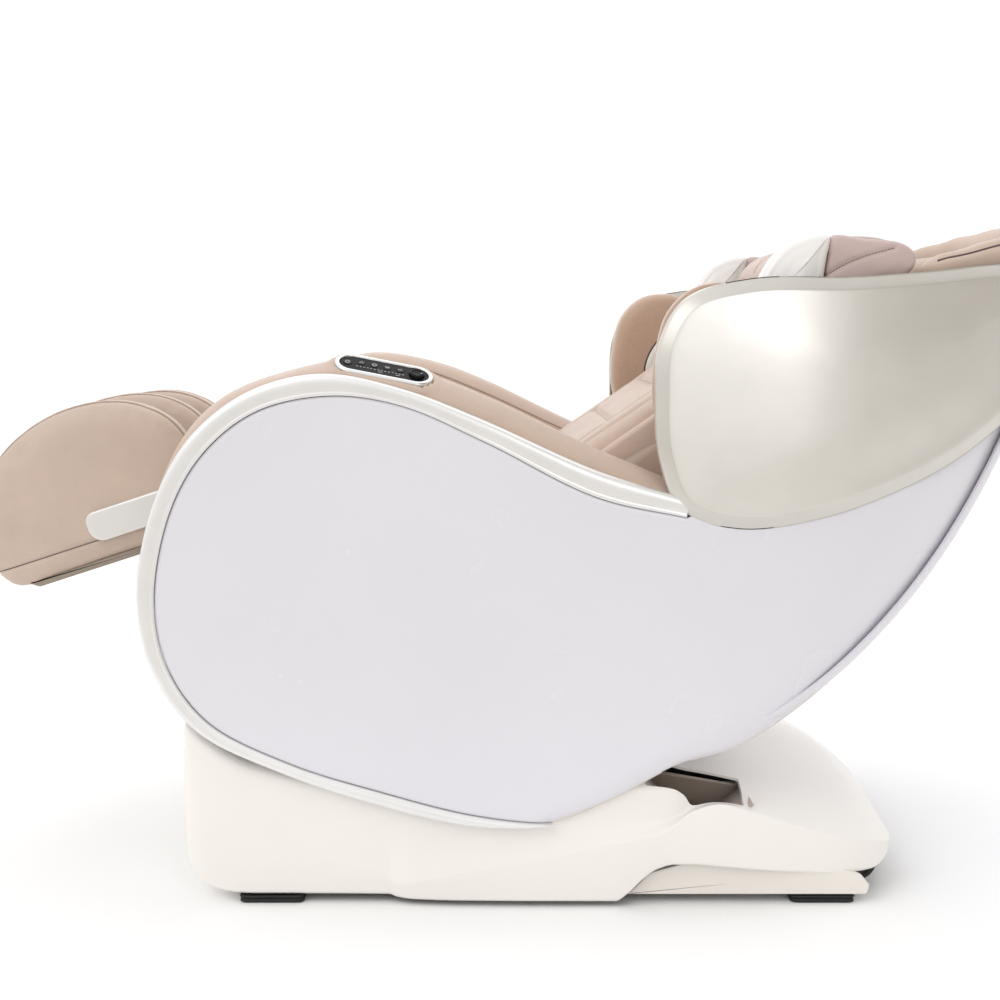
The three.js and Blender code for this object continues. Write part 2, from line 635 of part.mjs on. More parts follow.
// Padding under both calves, and under the divider.
function calfBed() {
  const { toe, heel, low, half, floor } = CALF;
  const bed = outline(
    [toe + 44, low], [toe + 14, low + 44], [toe + 12, 10], [toe + 60, floor - 6], [heel - 40, floor - 1],
    [heel, floor - 12], [heel, low],
  );
  return slab(bed, -(half - 62) + 0.6, half - 62.6, 4, 1);
}

function calfTray() {
  const { toe, heel, low, half } = CALF;
  const tray = outline([toe + 62, low - 12], [toe + 44, low - 1], [heel, low - 1], [heel, low - 12]);
  return slab(tray, -half + 6, half - 6);
}

// Flat bar along each side of the calf rest.
function calfArm() {
  const bar = new THREE.Shape();
  bar.absarc(-212, 0, 24, Math.PI / 2, (3 * Math.PI) / 2, false);
  bar.absarc(0, 0, 24, -Math.PI / 2, Math.PI / 2, false);
  return cut(slab(bar, -CALF.half - 16, -CALF.half - 2, 3, 1), crossBar(0, 0, 13.2, -CALF.half - 30, -CALF.half + 30));
}

// Tube through both arms, running in the seat frame's knee plates.
const calfCrossTube = () => crossBar(0, 0, 12.4, -249, 249, 24);

// ---------------------------------------------------------------- assembly
function base() {
  const group = new THREE.Group();
  group.add(
    mesh("base_frame", baseFrame(), LOOK.steel),
    mesh("base_cover", baseCover(), LOOK.cream),
    ...pair("base_skirt", baseSkirt(), LOOK.cream),
    ...pair("front_foot", foot(-322), LOOK.rubber),
    ...pair("rear_foot", foot(510), LOOK.rubber),
    ...pair("transport_wheel", transportWheel(), LOOK.rubber),
    mesh("power_supply", box(330, 470, 60, 240, 43, 88), LOOK.dark),
    mesh("power_inlet", box(549, 572, -52, 52, 8, 40), LOOK.black),
  );
  return group;
}

function backAssembly() {
  const group = backGroup();
  group.add(
    mesh("back_frame", backFrame(), LOOK.steel),
    mesh("carriage_frame", carriageFrame(), LOOK.steel),
    mesh("kneading_shaft", kneadingShaft(), LOOK.brass),
    ...pair("massage_arm", massageArm(), LOOK.dark),
    ...pair("massage_wheel_upper", massageWheel(1), LOOK.mauve),
    ...pair("massage_wheel_lower", massageWheel(-1), LOOK.mauve),
  );
  return group;
}

function seatShell() {
  const group = new THREE.Group();
  group.add(
    ...pair("side_panel", sidePanel(), LOOK.lilac),
    ...pair("side_trim", sideTrim(), LOOK.trim),
    ...pair("armrest", armrest(), LOOK.beige),
    ...pair("wing_shell", wingShell(), LOOK.pearl),
    ...pair("wing_pad", wingPad(), LOOK.beige),
    ...pair("pod_cap", podCap(), LOOK.white),
    ...pair("pod_pad", podPad(), LOOK.mauve),
    mesh("belly_cover", bellyCover(), LOOK.white),
    mesh("back_cover", backCover(), LOOK.lilac),
    mesh("seat_frame", seatFrame(), LOOK.steel),
    mesh("seat_cushion", seatCushion(), LOOK.beige),
    mesh("back_cushion", backCushion(), LOOK.beige),
    mesh("head_pillow", headPillow(), LOOK.mauve),
    mesh("head_bolster", headBolster(), LOOK.beige),
    mesh("air_pump", box(-120, 20, 90, 230, 300, 400), LOOK.dark),
    mesh("control_box", box(-120, 30, -230, -80, 300, 370), LOOK.dark),
    controlStrip(),
    backAssembly(),
  );
  return group;
}

function calfRest() {
  const group = new THREE.Group();
  group.position.set(KNEE.x, 0, KNEE.z);
  group.rotation.y = -rad(KNEE_ANGLE);
  group.add(
    mesh("calf_cross_tube", calfCrossTube(), LOOK.steel),
    ...pair("calf_arm", calfArm(), LOOK.silver),
    ...pair("calf_wall", calfWall(-CALF.half, -CALF.half + 62), LOOK.beige),
    mesh("calf_divider", calfDivider(), LOOK.beige),
    mesh("calf_bed", calfBed(), LOOK.mauve),
    mesh("calf_tray", calfTray(), LOOK.beige),
  );
  return group;
}

const chair = new THREE.Group();
chair.add(base(), seatShell(), calfRest());
chair.position.set(-CENTRE_X, 0, FOOT_HEIGHT);

export default chair;
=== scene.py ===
"""Massage chair in its zero-gravity pose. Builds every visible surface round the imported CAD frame."""
import math
from contextlib import contextmanager

import bmesh
import bpy
import numpy as np
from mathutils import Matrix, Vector
from mathutils.bvhtree import BVHTree


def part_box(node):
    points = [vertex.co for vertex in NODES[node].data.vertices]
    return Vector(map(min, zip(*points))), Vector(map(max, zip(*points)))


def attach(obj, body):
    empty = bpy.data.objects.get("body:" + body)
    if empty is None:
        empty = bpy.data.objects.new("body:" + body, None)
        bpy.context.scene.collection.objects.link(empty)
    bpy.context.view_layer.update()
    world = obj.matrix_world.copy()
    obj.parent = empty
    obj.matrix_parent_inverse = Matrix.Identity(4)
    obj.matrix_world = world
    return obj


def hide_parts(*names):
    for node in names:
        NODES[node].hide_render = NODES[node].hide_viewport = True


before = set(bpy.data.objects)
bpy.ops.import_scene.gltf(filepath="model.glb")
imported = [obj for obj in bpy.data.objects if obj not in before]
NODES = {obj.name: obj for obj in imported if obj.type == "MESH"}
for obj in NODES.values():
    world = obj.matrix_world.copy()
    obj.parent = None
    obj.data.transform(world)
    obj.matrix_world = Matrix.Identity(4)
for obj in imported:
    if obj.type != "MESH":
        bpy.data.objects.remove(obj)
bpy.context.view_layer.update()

# ---------------------------------------------------------------- drafting frame
# Shapes are drafted in millimetres, from the underside of the base cover, with X from the drafting
# origin of the side view. MOVE takes them to the row frame, in metres.
BASE_FRONT_X = -451.0
MOVE = np.array([
    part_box("base_cover")[0].x - BASE_FRONT_X / 1000,
    0.0,
    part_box("base_cover")[0].z,
])


def to_row(points):
    """Drafting millimetres to row metres."""
    return np.asarray(points, float) / 1000 + MOVE


# ---------------------------------------------------------------- curves
def resample(line, count, closed=False):
    """The same line with evenly spaced points."""
    line = np.asarray(line, float)
    if closed:
        line = np.vstack([line, line[:1]])
    step = np.linalg.norm(np.diff(line, axis=0), axis=1)
    along = np.concatenate([[0], np.cumsum(step)])
    at = np.linspace(0, along[-1], count + 1)[:-1] if closed else np.linspace(0, along[-1], count)
    return np.stack([np.interp(at, along, line[:, k]) for k in range(line.shape[1])], 1)


def curve(points, count, closed=False):
    """A centripetal Catmull-Rom curve through the points, evenly resampled."""
    p = np.asarray(points, float)
    if closed:
        p = np.vstack([p[-1:], p, p[:2]])
    else:
        p = np.vstack([2 * p[0] - p[1], p, 2 * p[-1] - p[-2]])
    dense = []
    for i in range(1, len(p) - 2):
        a, b, c, d = p[i - 1], p[i], p[i + 1], p[i + 2]
        t0 = 0.0
        t1 = t0 + max(np.linalg.norm(b - a), 1e-9) ** 0.5
        t2 = t1 + max(np.linalg.norm(c - b), 1e-9) ** 0.5
        t3 = t2 + max(np.linalg.norm(d - c), 1e-9) ** 0.5
        t = np.linspace(t1, t2, 24, endpoint=False)[:, None]
        a1 = (t1 - t) / (t1 - t0) * a + (t - t0) / (t1 - t0) * b
        a2 = (t2 - t) / (t2 - t1) * b + (t - t1) / (t2 - t1) * c
        a3 = (t3 - t) / (t3 - t2) * c + (t - t2) / (t3 - t2) * d
        b1 = (t2 - t) / (t2 - t0) * a1 + (t - t0) / (t2 - t0) * a2
        b2 = (t3 - t) / (t3 - t1) * a2 + (t - t1) / (t3 - t1) * a3
        dense.append((t2 - t) / (t2 - t1) * b1 + (t - t1) / (t2 - t1) * b2)
    dense = np.vstack(dense)
    if not closed:
        dense = np.vstack([dense, p[-2:-1]])
    return resample(dense, count, closed)


def smooth(x, low, high):
    """A soft step from 0 at low to 1 at high."""
    t = np.clip((np.asarray(x, float) - low) / (high - low), 0, 1)
    return t * t * (3 - 2 * t)


def distance_to_line(points, line, closed=False):
    """Distance of 2-D points to a polyline, and the fraction along it of the nearest place."""
    line = np.asarray(line, float)
    if closed:
        line = np.vstack([line, line[:1]])
    a, b = line[:-1], line[1:]
    ab = b - a
    best = np.full(len(points), np.inf)
    where = np.zeros(len(points))
    for i in range(len(a)):
        t = np.clip(((points - a[i]) @ ab[i]) / max(ab[i] @ ab[i], 1e-12), 0, 1)
        d = np.linalg.norm(points - (a[i] + t[:, None] * ab[i]), axis=1)
        near = d < best
        best[near] = d[near]
        where[near] = (i + t[near]) / len(a)
    return best, where


def offset_line(line, amount):
    """An open 2-D polyline moved sideways, to its left for a positive amount."""
    line = np.asarray(line, float)
    tangent = unit(np.gradient(line, axis=0))
    return line + np.stack([-tangent[:, 1], tangent[:, 0]], 1) * amount


def at_y(flat, y):
    """Points of the side view, X and Z, set at Y: one number, or one for each point."""
    return np.stack([flat[:, 0], np.zeros(len(flat)) + y, flat[:, 1]], 1)


def unit(vectors):
    return vectors / np.linalg.norm(vectors, axis=1)[:, None]


# ---------------------------------------------------------------- meshes
def link(obj):
    bpy.context.scene.collection.objects.link(obj)


def make_object(name, points, faces, look, flat_angle=None):
    mesh = bpy.data.meshes.new(name)
    mesh.from_pydata(to_row(points).tolist(), [], faces)
    obj = bpy.data.objects.new(name, mesh)
    link(obj)
    mesh.materials.append(look)
    tidy_normals(obj)
    shade(obj, flat_angle)
    return obj


@contextmanager
def editing(mesh):
    bm = bmesh.new()
    bm.from_mesh(mesh)
    yield bm
    bm.to_mesh(mesh)
    bm.free()


def tidy_normals(obj):
    with editing(obj.data) as bm:
        bmesh.ops.remove_doubles(bm, verts=bm.verts, dist=1e-5)
        bmesh.ops.recalc_face_normals(bm, faces=bm.faces)


def shade(obj, flat_angle=None):
    obj.data.polygons.foreach_set("use_smooth", [True] * len(obj.data.polygons))
    if flat_angle is not None:
        limit = math.radians(flat_angle)
        with editing(obj.data) as bm:
            for edge in bm.edges:
                edge.smooth = len(edge.link_faces) == 2 and edge.calc_face_angle(0) < limit
    obj.data.update()


def grid_faces(rows, cols, close_rows=False, close_cols=False):
    faces = []
    for r in range(rows if close_rows else rows - 1):
        for c in range(cols if close_cols else cols - 1):
            r1, c1 = (r + 1) % rows, (c + 1) % cols
            faces.append((r * cols + c, r * cols + c1, r1 * cols + c1, r1 * cols + c))
    return faces


def loft(name, rings, look, caps=True, close_rows=False, flat_angle=None):
    """A surface through equal rings of points, each ring closed."""
    rings = np.asarray(rings, float)
    rows, cols = rings.shape[:2]
    faces = grid_faces(rows, cols, close_rows, True)
    if caps and not close_rows:
        faces.append(tuple(range(cols - 1, -1, -1)))
        faces.append(tuple((rows - 1) * cols + i for i in range(cols)))
    return make_object(name, rings.reshape(-1, 3), faces, look, flat_angle)


def tube(name, line, radius, look, sides=8, closed=False):
    """A round tube along 3-D points, in millimetres."""
    line = np.asarray(line, float)
    if closed:
        tangent = np.roll(line, -1, 0) - np.roll(line, 1, 0)
    else:
        tangent = np.gradient(line, axis=0)
    tangent = unit(tangent)
    up = np.array([0.0, 1.0, 0.0])
    if np.mean(np.abs(tangent @ up)) > 0.8:
        up = np.array([0.0, 0.0, 1.0])
    side = unit(np.cross(tangent, up))
    over = np.cross(side, tangent)
    angles = np.linspace(0, 2 * math.pi, sides, endpoint=False)
    rings = line[:, None] + radius * (
        np.cos(angles)[None, :, None] * side[:, None] + np.sin(angles)[None, :, None] * over[:, None])
    return loft(name, rings, look, caps=not closed, close_rows=closed)


def rounded_slab(name, outline, y_from, y_to, radius, look, steps=5, crown=0.0, flat_angle=None):
    """A side outline in X and Z made into a block with round edges. crown swells both faces."""
    outline = np.asarray(outline, float)
    closed = np.vstack([outline[-1:], outline, outline[:1]])
    tangent = unit(closed[2:] - closed[:-2])
    across, up = outline[:, 0], outline[:, 1]
    area = 0.5 * np.sum(across * np.roll(up, -1) - np.roll(across, -1) * up)
    inward = np.stack([-tangent[:, 1], tangent[:, 0]], 1) * (1 if area > 0 else -1)
    centre = outline.mean(0)
    rings = []

    def ring(inset, y, scale=1.0):
        flat = outline + inward * inset
        flat = centre + (flat - centre) * scale
        rings.append(at_y(flat, y))

    for side, wall in ((1, y_from), (-1, y_to)):
        part = []
        for k in range(steps + 1):
            a = k / steps * math.pi / 2
            part.append((radius * (1 - math.sin(a)), wall + side * radius * (1 - math.cos(a))))
        inner = [(radius, wall - side * crown * c, s) for s,
            c in ((0.2, 1.0), (0.55, 0.8), (0.8, 0.45), (0.93, 0.15))]
        if side > 0:
            for inset, y, s in inner:
                ring(inset, y, s)
            for inset, y in part:
                ring(inset, y)
        else:
            for inset, y in reversed(part):
                ring(inset, y)
            for inset, y, s in reversed(inner):
                ring(inset, y, s)
    return loft(name, rings, look, flat_angle=flat_angle)


def mirrored(obj, name):
    copy = obj.copy()
    copy.data = obj.data.copy()
    copy.name = copy.data.name = name
    link(copy)
    with editing(copy.data) as bm:
        for v in bm.verts:
            v.co.y = -v.co.y
        bmesh.ops.reverse_faces(bm, faces=bm.faces)
    return copy


def modifier(obj, kind, **settings):
    m = obj.modifiers.new(kind.lower(), kind)
    for key, value in settings.items():
        setattr(m, key, value)
    return m


def bake(obj):
    """Applies every modifier of the object to its mesh."""
    bpy.context.view_layer.update()
    graph = bpy.context.evaluated_depsgraph_get()
    mesh = bpy.data.meshes.new_from_object(obj.evaluated_get(graph))
    old = obj.data
    obj.modifiers.clear()
    obj.data = mesh
    mesh.name = obj.name
    bpy.data.meshes.remove(old)
    return obj


def cut(obj, cutter):
    modifier(obj, "BOOLEAN", operation="DIFFERENCE", object=cutter, solver="EXACT")
    bake(obj)
    bpy.data.objects.remove(cutter)


def place(obj, body, nodes=()):
    """Puts the piece on its body and hides the CAD nodes it stands for."""
    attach(obj, body)
    if nodes:
        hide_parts(*nodes)
    return obj


def place_all(pieces, body):
    for piece in pieces:
        place(piece, body)


def coords(obj, what="co"):
    values = np.empty(len(obj.data.vertices) * 3, np.float32)
    obj.data.vertices.foreach_get(what, values)
    return values.reshape(-1, 3).astype(float)


def set_coords(obj, co):
    obj.data.vertices.foreach_set("co", np.asarray(co, np.float32).ravel())
    obj.data.update()


def drafted(obj):
    """The object's points in the drafting frame, in millimetres."""
    return (coords(obj) - MOVE) * 1000


# ---------------------------------------------------------------- materials
def new_material(name):
    mat = bpy.data.materials.new(name)
    mat.use_nodes = True
    tree = mat.node_tree
    bsdf = tree.nodes["Principled BSDF"]
    where = tree.nodes.new("ShaderNodeTexCoord")
    return mat, tree, bsdf, where.outputs["Object"]


def settings(node, **values):
    """Sets sockets by name: an underscore stands for a space."""
    for name, value in values.items():
        node.inputs[name.replace("_", " ")].default_value = value


def mixed(tree, first, second, factor=None, blend="MIX"):
    """Mixes two colours, and returns the mix node's colour and its factor socket."""
    mix = tree.nodes.new("ShaderNodeMix")
    mix.data_type = "RGBA"
    mix.blend_type = blend
    if factor is not None:
        mix.inputs[0].default_value = factor
    for socket, colour in ((mix.inputs[6], first), (mix.inputs[7], second)):
        if isinstance(colour, tuple):
            socket.default_value = colour
        else:
            tree.links.new(colour, socket)
    return mix.outputs[2], mix.inputs[0]


def noise(tree, where, scale, detail=4.0, roughness=0.55):
    n = tree.nodes.new("ShaderNodeTexNoise")
    settings(n, Scale=scale, Detail=detail, Roughness=roughness)
    tree.links.new(where, n.inputs["Vector"])
    return n.outputs["Fac"]


def ramp(tree, value, stops):
    r = tree.nodes.new("ShaderNodeValToRGB")
    while len(r.color_ramp.elements) < len(stops):
        r.color_ramp.elements.new(0.5)
    for element, (at, colour) in zip(r.color_ramp.elements, stops):
        element.position = at
        element.color = (*colour, 1)
    tree.links.new(value, r.inputs["Fac"])
    return r.outputs["Color"]


def bump(tree, bsdf, height, strength, distance, below=None):
    b = tree.nodes.new("ShaderNodeBump")
    settings(b, Strength=strength, Distance=distance)
    tree.links.new(height, b.inputs["Height"])
    if below is not None:
        tree.links.new(below, b.inputs["Normal"])
    tree.links.new(b.outputs["Normal"], bsdf.inputs["Normal"])
    return b.outputs["Normal"]


def grey_ramp(tree, value, low, high):
    return ramp(tree, value, ((0.3, (low,) * 3), (0.7, (high,) * 3)))


def shades(colour, spread):
    return tuple(c * (1 - spread) for c in colour), tuple(min(c * (1 + spread), 1) for c in colour)


def gloss_plastic(name, colour, rough=0.22, coat=0.35):
    """Moulded plastic with a gloss lacquer, and a faint drift of tone and gloss."""
    mat, tree, bsdf, where = new_material(name)
    low, high = shades(colour, 0.012)
    tone = ramp(tree, noise(tree, where, 3.0, 3.0), ((0.35, low), (0.65, high)))
    tree.links.new(tone, bsdf.inputs["Base Color"])
    tree.links.new(grey_ramp(tree, noise(tree, where, 8.0, 2.0), rough - 0.02, rough + 0.04),
        bsdf.inputs["Roughness"])
    settings(bsdf, Coat_Weight=coat, Coat_Roughness=0.08)
    return mat


def pearl_paint(name, colour, rough, metal):
    """Pearl paint: a part-metallic base with soft cloudy tone under a clear coat."""
    mat, tree, bsdf, where = new_material(name)
    low, high = shades(colour, 0.02)
    drift = ramp(tree, noise(tree, where, 4.0, 2.0), ((0.35, low), (0.65, high)))
    fleck = ramp(tree, noise(tree, where, 22.0, 2.0), ((0.3, (0.97,) * 3), (0.7, (1.0,) * 3)))
    tree.links.new(mixed(tree, drift, fleck, 1.0, "MULTIPLY")[0], bsdf.inputs["Base Color"])
    tree.links.new(grey_ramp(tree, noise(tree, where, 9.0, 2.0), rough - 0.02, rough + 0.04),
        bsdf.inputs["Roughness"])
    settings(bsdf, Metallic=metal, Coat_Weight=0.35, Coat_Roughness=0.4)
    return mat


def leather(name, colour, rough, depth=0.35):
    """Coated leather: pebbled grain about a millimetre across, finer pores, soft creases."""
    mat, tree, bsdf, where = new_material(name)
    low, high = shades(colour, 0.05)
    mottle = ramp(tree, noise(tree, where, 14.0, 6.0, 0.6), ((0.3, low), (0.7, high)))
    cells = tree.nodes.new("ShaderNodeTexVoronoi")
    cells.feature = "DISTANCE_TO_EDGE"
    cells.inputs["Scale"].default_value = 620.0
    tree.links.new(where, cells.inputs["Vector"])
    edge = ramp(tree, cells.outputs["Distance"], ((0.0, (0.0,) * 3), (0.16, (1.0,) * 3)))
    tree.links.new(mixed(tree, mottle, edge, 0.08, "MULTIPLY")[0], bsdf.inputs["Base Color"])
    tree.links.new(grey_ramp(tree, noise(tree, where, 90.0, 4.0), rough - 0.06, rough + 0.08),
        bsdf.inputs["Roughness"])
    settings(bsdf, Sheen_Weight=0.12, Sheen_Roughness=0.5, Specular_IOR_Level=0.4)
    crease = bump(tree, bsdf, noise(tree, where, 18.0, 5.0, 0.6), 0.12, 0.004)
    fine = bump(tree, bsdf, noise(tree, where, 900.0, 3.0), 0.12, 0.0003, crease)
    bump(tree, bsdf, edge, depth, 0.0003, fine)
    return mat


def knit(name, colour):
    """Fine knitted lining: two crossed waves for the loops."""
    mat, tree, bsdf, where = new_material(name)
    low, high = shades(colour, 0.08)
    tree.links.new(ramp(tree, noise(tree, where, 60.0, 6.0), ((0.3, low), (0.7, high))),
        bsdf.inputs["Base Color"])
    heights = []
    for axis in ("X", "Y"):
        wave = tree.nodes.new("ShaderNodeTexWave")
        wave.bands_direction = axis
        settings(wave, Scale=260.0, Distortion=0.6)
        tree.links.new(where, wave.inputs["Vector"])
        heights.append(wave.outputs["Fac"])
    loops = tree.nodes.new("ShaderNodeMath")
    loops.operation = "MULTIPLY"
    for height, socket in zip(heights, loops.inputs):
        tree.links.new(height, socket)
    settings(bsdf, Roughness=0.85, Sheen_Weight=0.3)
    bump(tree, bsdf, loops.outputs[0], 0.4, 0.0006)
    return mat


def rough_solid(name, colour, rough, metal=0.0, grain=300.0, depth=0.2, spread=0.08, spec=0.5):
    """Rubber, satin metal or textured plastic: even colour with a fine grain."""
    mat, tree, bsdf, where = new_material(name)
    low, high = shades(colour, spread)
    tree.links.new(ramp(tree, noise(tree, where, 25.0, 5.0), ((0.3, low), (0.7, high))),
        bsdf.inputs["Base Color"])
    tree.links.new(grey_ramp(tree, noise(tree, where, 50.0, 4.0), rough - 0.05, rough + 0.07),
        bsdf.inputs["Roughness"])
    settings(bsdf, Metallic=metal, Specular_IOR_Level=spec)
    bump(tree, bsdf, noise(tree, where, grain, 3.0), depth, 0.0003)
    return mat


LOOK = {}


def add_looks(make, table):
    for name, values in table.items():
        LOOK[name] = make(name, *values)


add_looks(gloss_plastic, {
    "side_panel": ((0.76, 0.745, 0.80), 0.24),
    "belly": ((0.72, 0.70, 0.74), 0.28),
    "back_shell": ((0.76, 0.745, 0.80), 0.26),
    "base_shell": ((0.88, 0.845, 0.805), 0.3, 0.2),
    "base_skirt": ((0.82, 0.775, 0.72), 0.4, 0.1),
    # Pocket look: the base shell's plastic coloured dark brown, painted shade for the recess in the base's
    # cheek
    "pocket": ((0.50, 0.43, 0.375), 0.5, 0.0),
    # Lip look: the side panel's plastic, darker and warmer, as painted shade along the rolled rear edge
    "side_lip": ((0.70, 0.655, 0.63), 0.3),
    "inset": ((0.78, 0.76, 0.71), 0.3),
    "pod_white": ((0.90, 0.88, 0.87), 0.2, 0.5),
})
add_looks(pearl_paint, {
    "trim": ((0.85, 0.84, 0.835), 0.32, 0.55),
    "wing": ((0.80, 0.78, 0.745), 0.34, 0.8),
    # Border look: a darker copy of the wing's pearl paint, painted shade on the chamfered border
    "wing_rim": ((0.66, 0.635, 0.59), 0.36, 0.75),
    "calf_arm": ((0.80, 0.79, 0.78), 0.3, 0.4),
})
add_looks(leather, {
    "wing_lining": ((0.50, 0.345, 0.25), 0.3, 0.1),
    "pod_leather": ((0.58, 0.45, 0.425), 0.42),
    "arm_leather": ((0.60, 0.46, 0.375), 0.42),
    "seat_leather": ((0.585, 0.455, 0.375), 0.46),
    "pillow_leather": ((0.585, 0.455, 0.40), 0.46),
    "calf_leather": ((0.60, 0.475, 0.395), 0.46),
    "piping": ((0.46, 0.345, 0.275), 0.45),
})
add_looks(knit, {
    "calf_lining": ((0.50, 0.40, 0.34),),
})
add_looks(rough_solid, {
    "calf_base": ((0.30, 0.25, 0.20), 0.5),
    "thread": ((0.36, 0.27, 0.24), 0.7),
    "foot_rubber": ((0.012, 0.012, 0.012), 0.7),
    "wheel_rubber": ((0.010, 0.010, 0.010), 0.45),
    "dark_plastic": ((0.02, 0.02, 0.02), 0.55),
    "frame_paint": ((0.03, 0.03, 0.032), 0.4, 0.3),
    "shaft": ((0.55, 0.55, 0.56), 0.3, 1.0, 500.0, 0.1),
    "massage_wheel": ((0.26, 0.20, 0.16), 0.55),
    "panel_black": ((0.010, 0.009, 0.011), 0.3, 0.0, 300.0, 0.2, 0.08, 0.12),
    "key": ((0.016, 0.015, 0.018), 0.3, 0.0, 300.0, 0.2, 0.08, 0.2),
    "bezel": ((0.78, 0.78, 0.78), 0.22, 1.0, 400.0, 0.05, 0.02),
    "mark": ((0.9, 0.9, 0.9), 0.5),
    "gasket": ((0.03, 0.024, 0.02), 0.5),
    "welt": ((0.12, 0.07, 0.085), 0.6),
    "inlet": ((0.015, 0.015, 0.015), 0.5),
})

# ---------------------------------------------------------------- shared outlines of the seat shell
PANEL_Y = 375.0
WING_Y = 388.0
TRIM_OUTER = [
    (294, 605), (161, 646), (-7, 721), (-120, 764), (-235, 785), (-340, 759), (-424, 694), (-478, 600),
    (-507, 460), (-488, 352), (-425, 262), (-300, 198), (-155, 148), (-30, 118), (60, 114), (100, 120),
]
TRIM_INNER = [
    (290, 578), (161, 607), (0, 687), (-120, 739), (-222, 753), (-326, 731), (-402, 673), (-452, 590),
    (-480, 460), (-465, 360), (-408, 276), (-290, 213), (-150, 168), (-30, 136), (50, 124), (96, 121),
]
PANEL_REAR = [(100, 122), (188, 157), (286, 207), (369, 230), (484, 303), (611, 418), (716, 553), (806, 726),
    (846, 866)]
PANEL_TOP = [(840, 900), (720, 893), (600, 880), (440, 856), (372, 800), (334, 700), (299, 578)]
WING_EDGE = [
    (242, 752), (250, 660), (284, 588), (367, 562), (482, 576), (596, 612), (708, 666), (796, 738),
    (846, 836),
    (846, 926), (806, 943), (740, 942), (659, 933), (520, 922), (374, 919), (284, 892), (248, 832),
]


def drawn_in(x):
    """How far the shell's sides come in towards the head end."""
    return 168 * smooth(x, 420, 1150)


def panel_y(x):
    return -(PANEL_Y - drawn_in(x))


def wing_y(x):
    return -(WING_Y - drawn_in(x))


def inset_loop(outline, amount):
    outline = np.asarray(outline, float)
    tangent = unit(np.roll(outline, -1, 0) - np.roll(outline, 1, 0))
    area = np.sum(outline[:, 0] * np.roll(outline[:, 1], -1) - np.roll(outline[:, 0], -1) * outline[:, 1])
    return outline + np.stack([-tangent[:, 1], tangent[:, 0]], 1) * amount * np.sign(area)


def dished(name, outline, profile, look, centre, surface, inner):
    """A closed body over a side outline. profile lists (inset, depth) from its back to its front, and
    surface(x, depth, inset) gives Y. The body's back and front are closed by shrinking rings."""
    outline = np.asarray(outline, float)
    centre = np.asarray(centre, float)
    rings = []

    def add(flat, inset, depth):
        rings.append(at_y(flat, surface(flat[:, 0], depth, inset)))

    first = inset_loop(outline, profile[0][0])
    for s in reversed(inner):
        add(centre + (first - centre) * s, profile[0][0] + (1 - s) * 150, profile[0][1])
    for inset, depth in profile:
        add(inset_loop(outline, inset), inset, depth)
    last = inset_loop(outline, profile[-1][0])
    for s in inner:
        add(centre + (last - centre) * s, profile[-1][0] + (1 - s) * 150, profile[-1][1])
    return loft(name, rings, look)


def open_sheet(name, points, faces, look, outward, thickness, flat_angle=None):
    """A sheet whose front looks along outward, thickened behind."""
    obj = make_object(name, points, faces, look)
    total = Vector((0, 0, 0))
    for face in obj.data.polygons:
        total += face.normal * face.area
    if total.dot(Vector(outward)) < 0:
        obj.data.flip_normals()
    modifier(obj, "SOLIDIFY", thickness=thickness / 1000, offset=-1.0)
    bake(obj)
    shade(obj, flat_angle)
    return obj


# ---------------------------------------------------------------- side shell
def side_panel():
    front = curve(TRIM_INNER, 170)
    rear = curve(PANEL_REAR, 90)
    top = curve(PANEL_TOP, 50)
    boundary = np.vstack([front, rear[1:], top])
    boundary = resample(boundary, 300, closed=True)
    centre = np.array([330.0, 430.0])
    scales = [1, 0.996, 0.99, 0.98, 0.965, 0.94, 0.91, 0.87, 0.82, 0.76, 0.68, 0.58, 0.46, 0.32, 0.16]
    flat = np.vstack([centre + (boundary - centre) * s for s in scales] + [centre[None]])
    from_front, _ = distance_to_line(flat, front)
    from_rear, _ = distance_to_line(flat, rear)
    x = flat[:, 0]
    y = panel_y(x)
    t = np.clip(1 - from_front / 4.0, 0, 1)
    y = y + 3.0 * (1 - np.sqrt(1 - t ** 2))
    reach = 26 + 120 * smooth(x, 140, 640)
    drop = rear_drop(x)
    t = np.clip(1 - from_rear / reach, 0, 1)
    y = y + drop * (1 - np.sqrt(1 - 0.8 * t ** 2)) / (1 - math.sqrt(0.2))
    points = np.stack([x, y, flat[:, 1]], 1)
    n = len(boundary)
    faces = grid_faces(len(scales), n, close_cols=True)
    last = (len(scales) - 1) * n
    faces += [(last + i, last + (i + 1) % n, len(points) - 1) for i in range(n)]
    return open_sheet("side_shell_left", points, faces, LOOK["side_panel"], (0, -1, 0), 5, flat_angle=50)


def rear_drop(x):
    """How far the shell's side rolls in at its rear edge."""
    return 8 + 34 * smooth(x, 120, 640)


def side_lip():
    """Rolled lip along the lower and rear edge of the side shell, notched for the base's cheek. It has the
    side panel's plastic made darker and warmer: painted shade under the rolled edge.
    """
    line = curve([(-20, 134), (50, 124), (96, 121)] + PANEL_REAR[1:], 260)
    normal = -(offset_line(line, 1.0) - line)
    x = line[:, 0]
    notch = 7 * smooth(x, 262, 266) * smooth(x, 304, 300)
    rings = []
    section = [(-9, 3.5), (-8, -0.6), (-5, -1.8), (-1, -1.2), (2.0, 1.6), (3.2, 6), (2.4, 11), (-2, 14),
        (-9, 14)]
    for k, p in enumerate(line):
        edge_y = panel_y(p[0]) + rear_drop(p[0])
        rings.append([
            (p[0] + normal[k][0] * (t - notch[k]), edge_y + y, p[1] + normal[k][1] * (t - notch[k]))
            for t, y in section])
    return loft("side_lip_left", rings, LOOK["side_lip"], flat_angle=60)


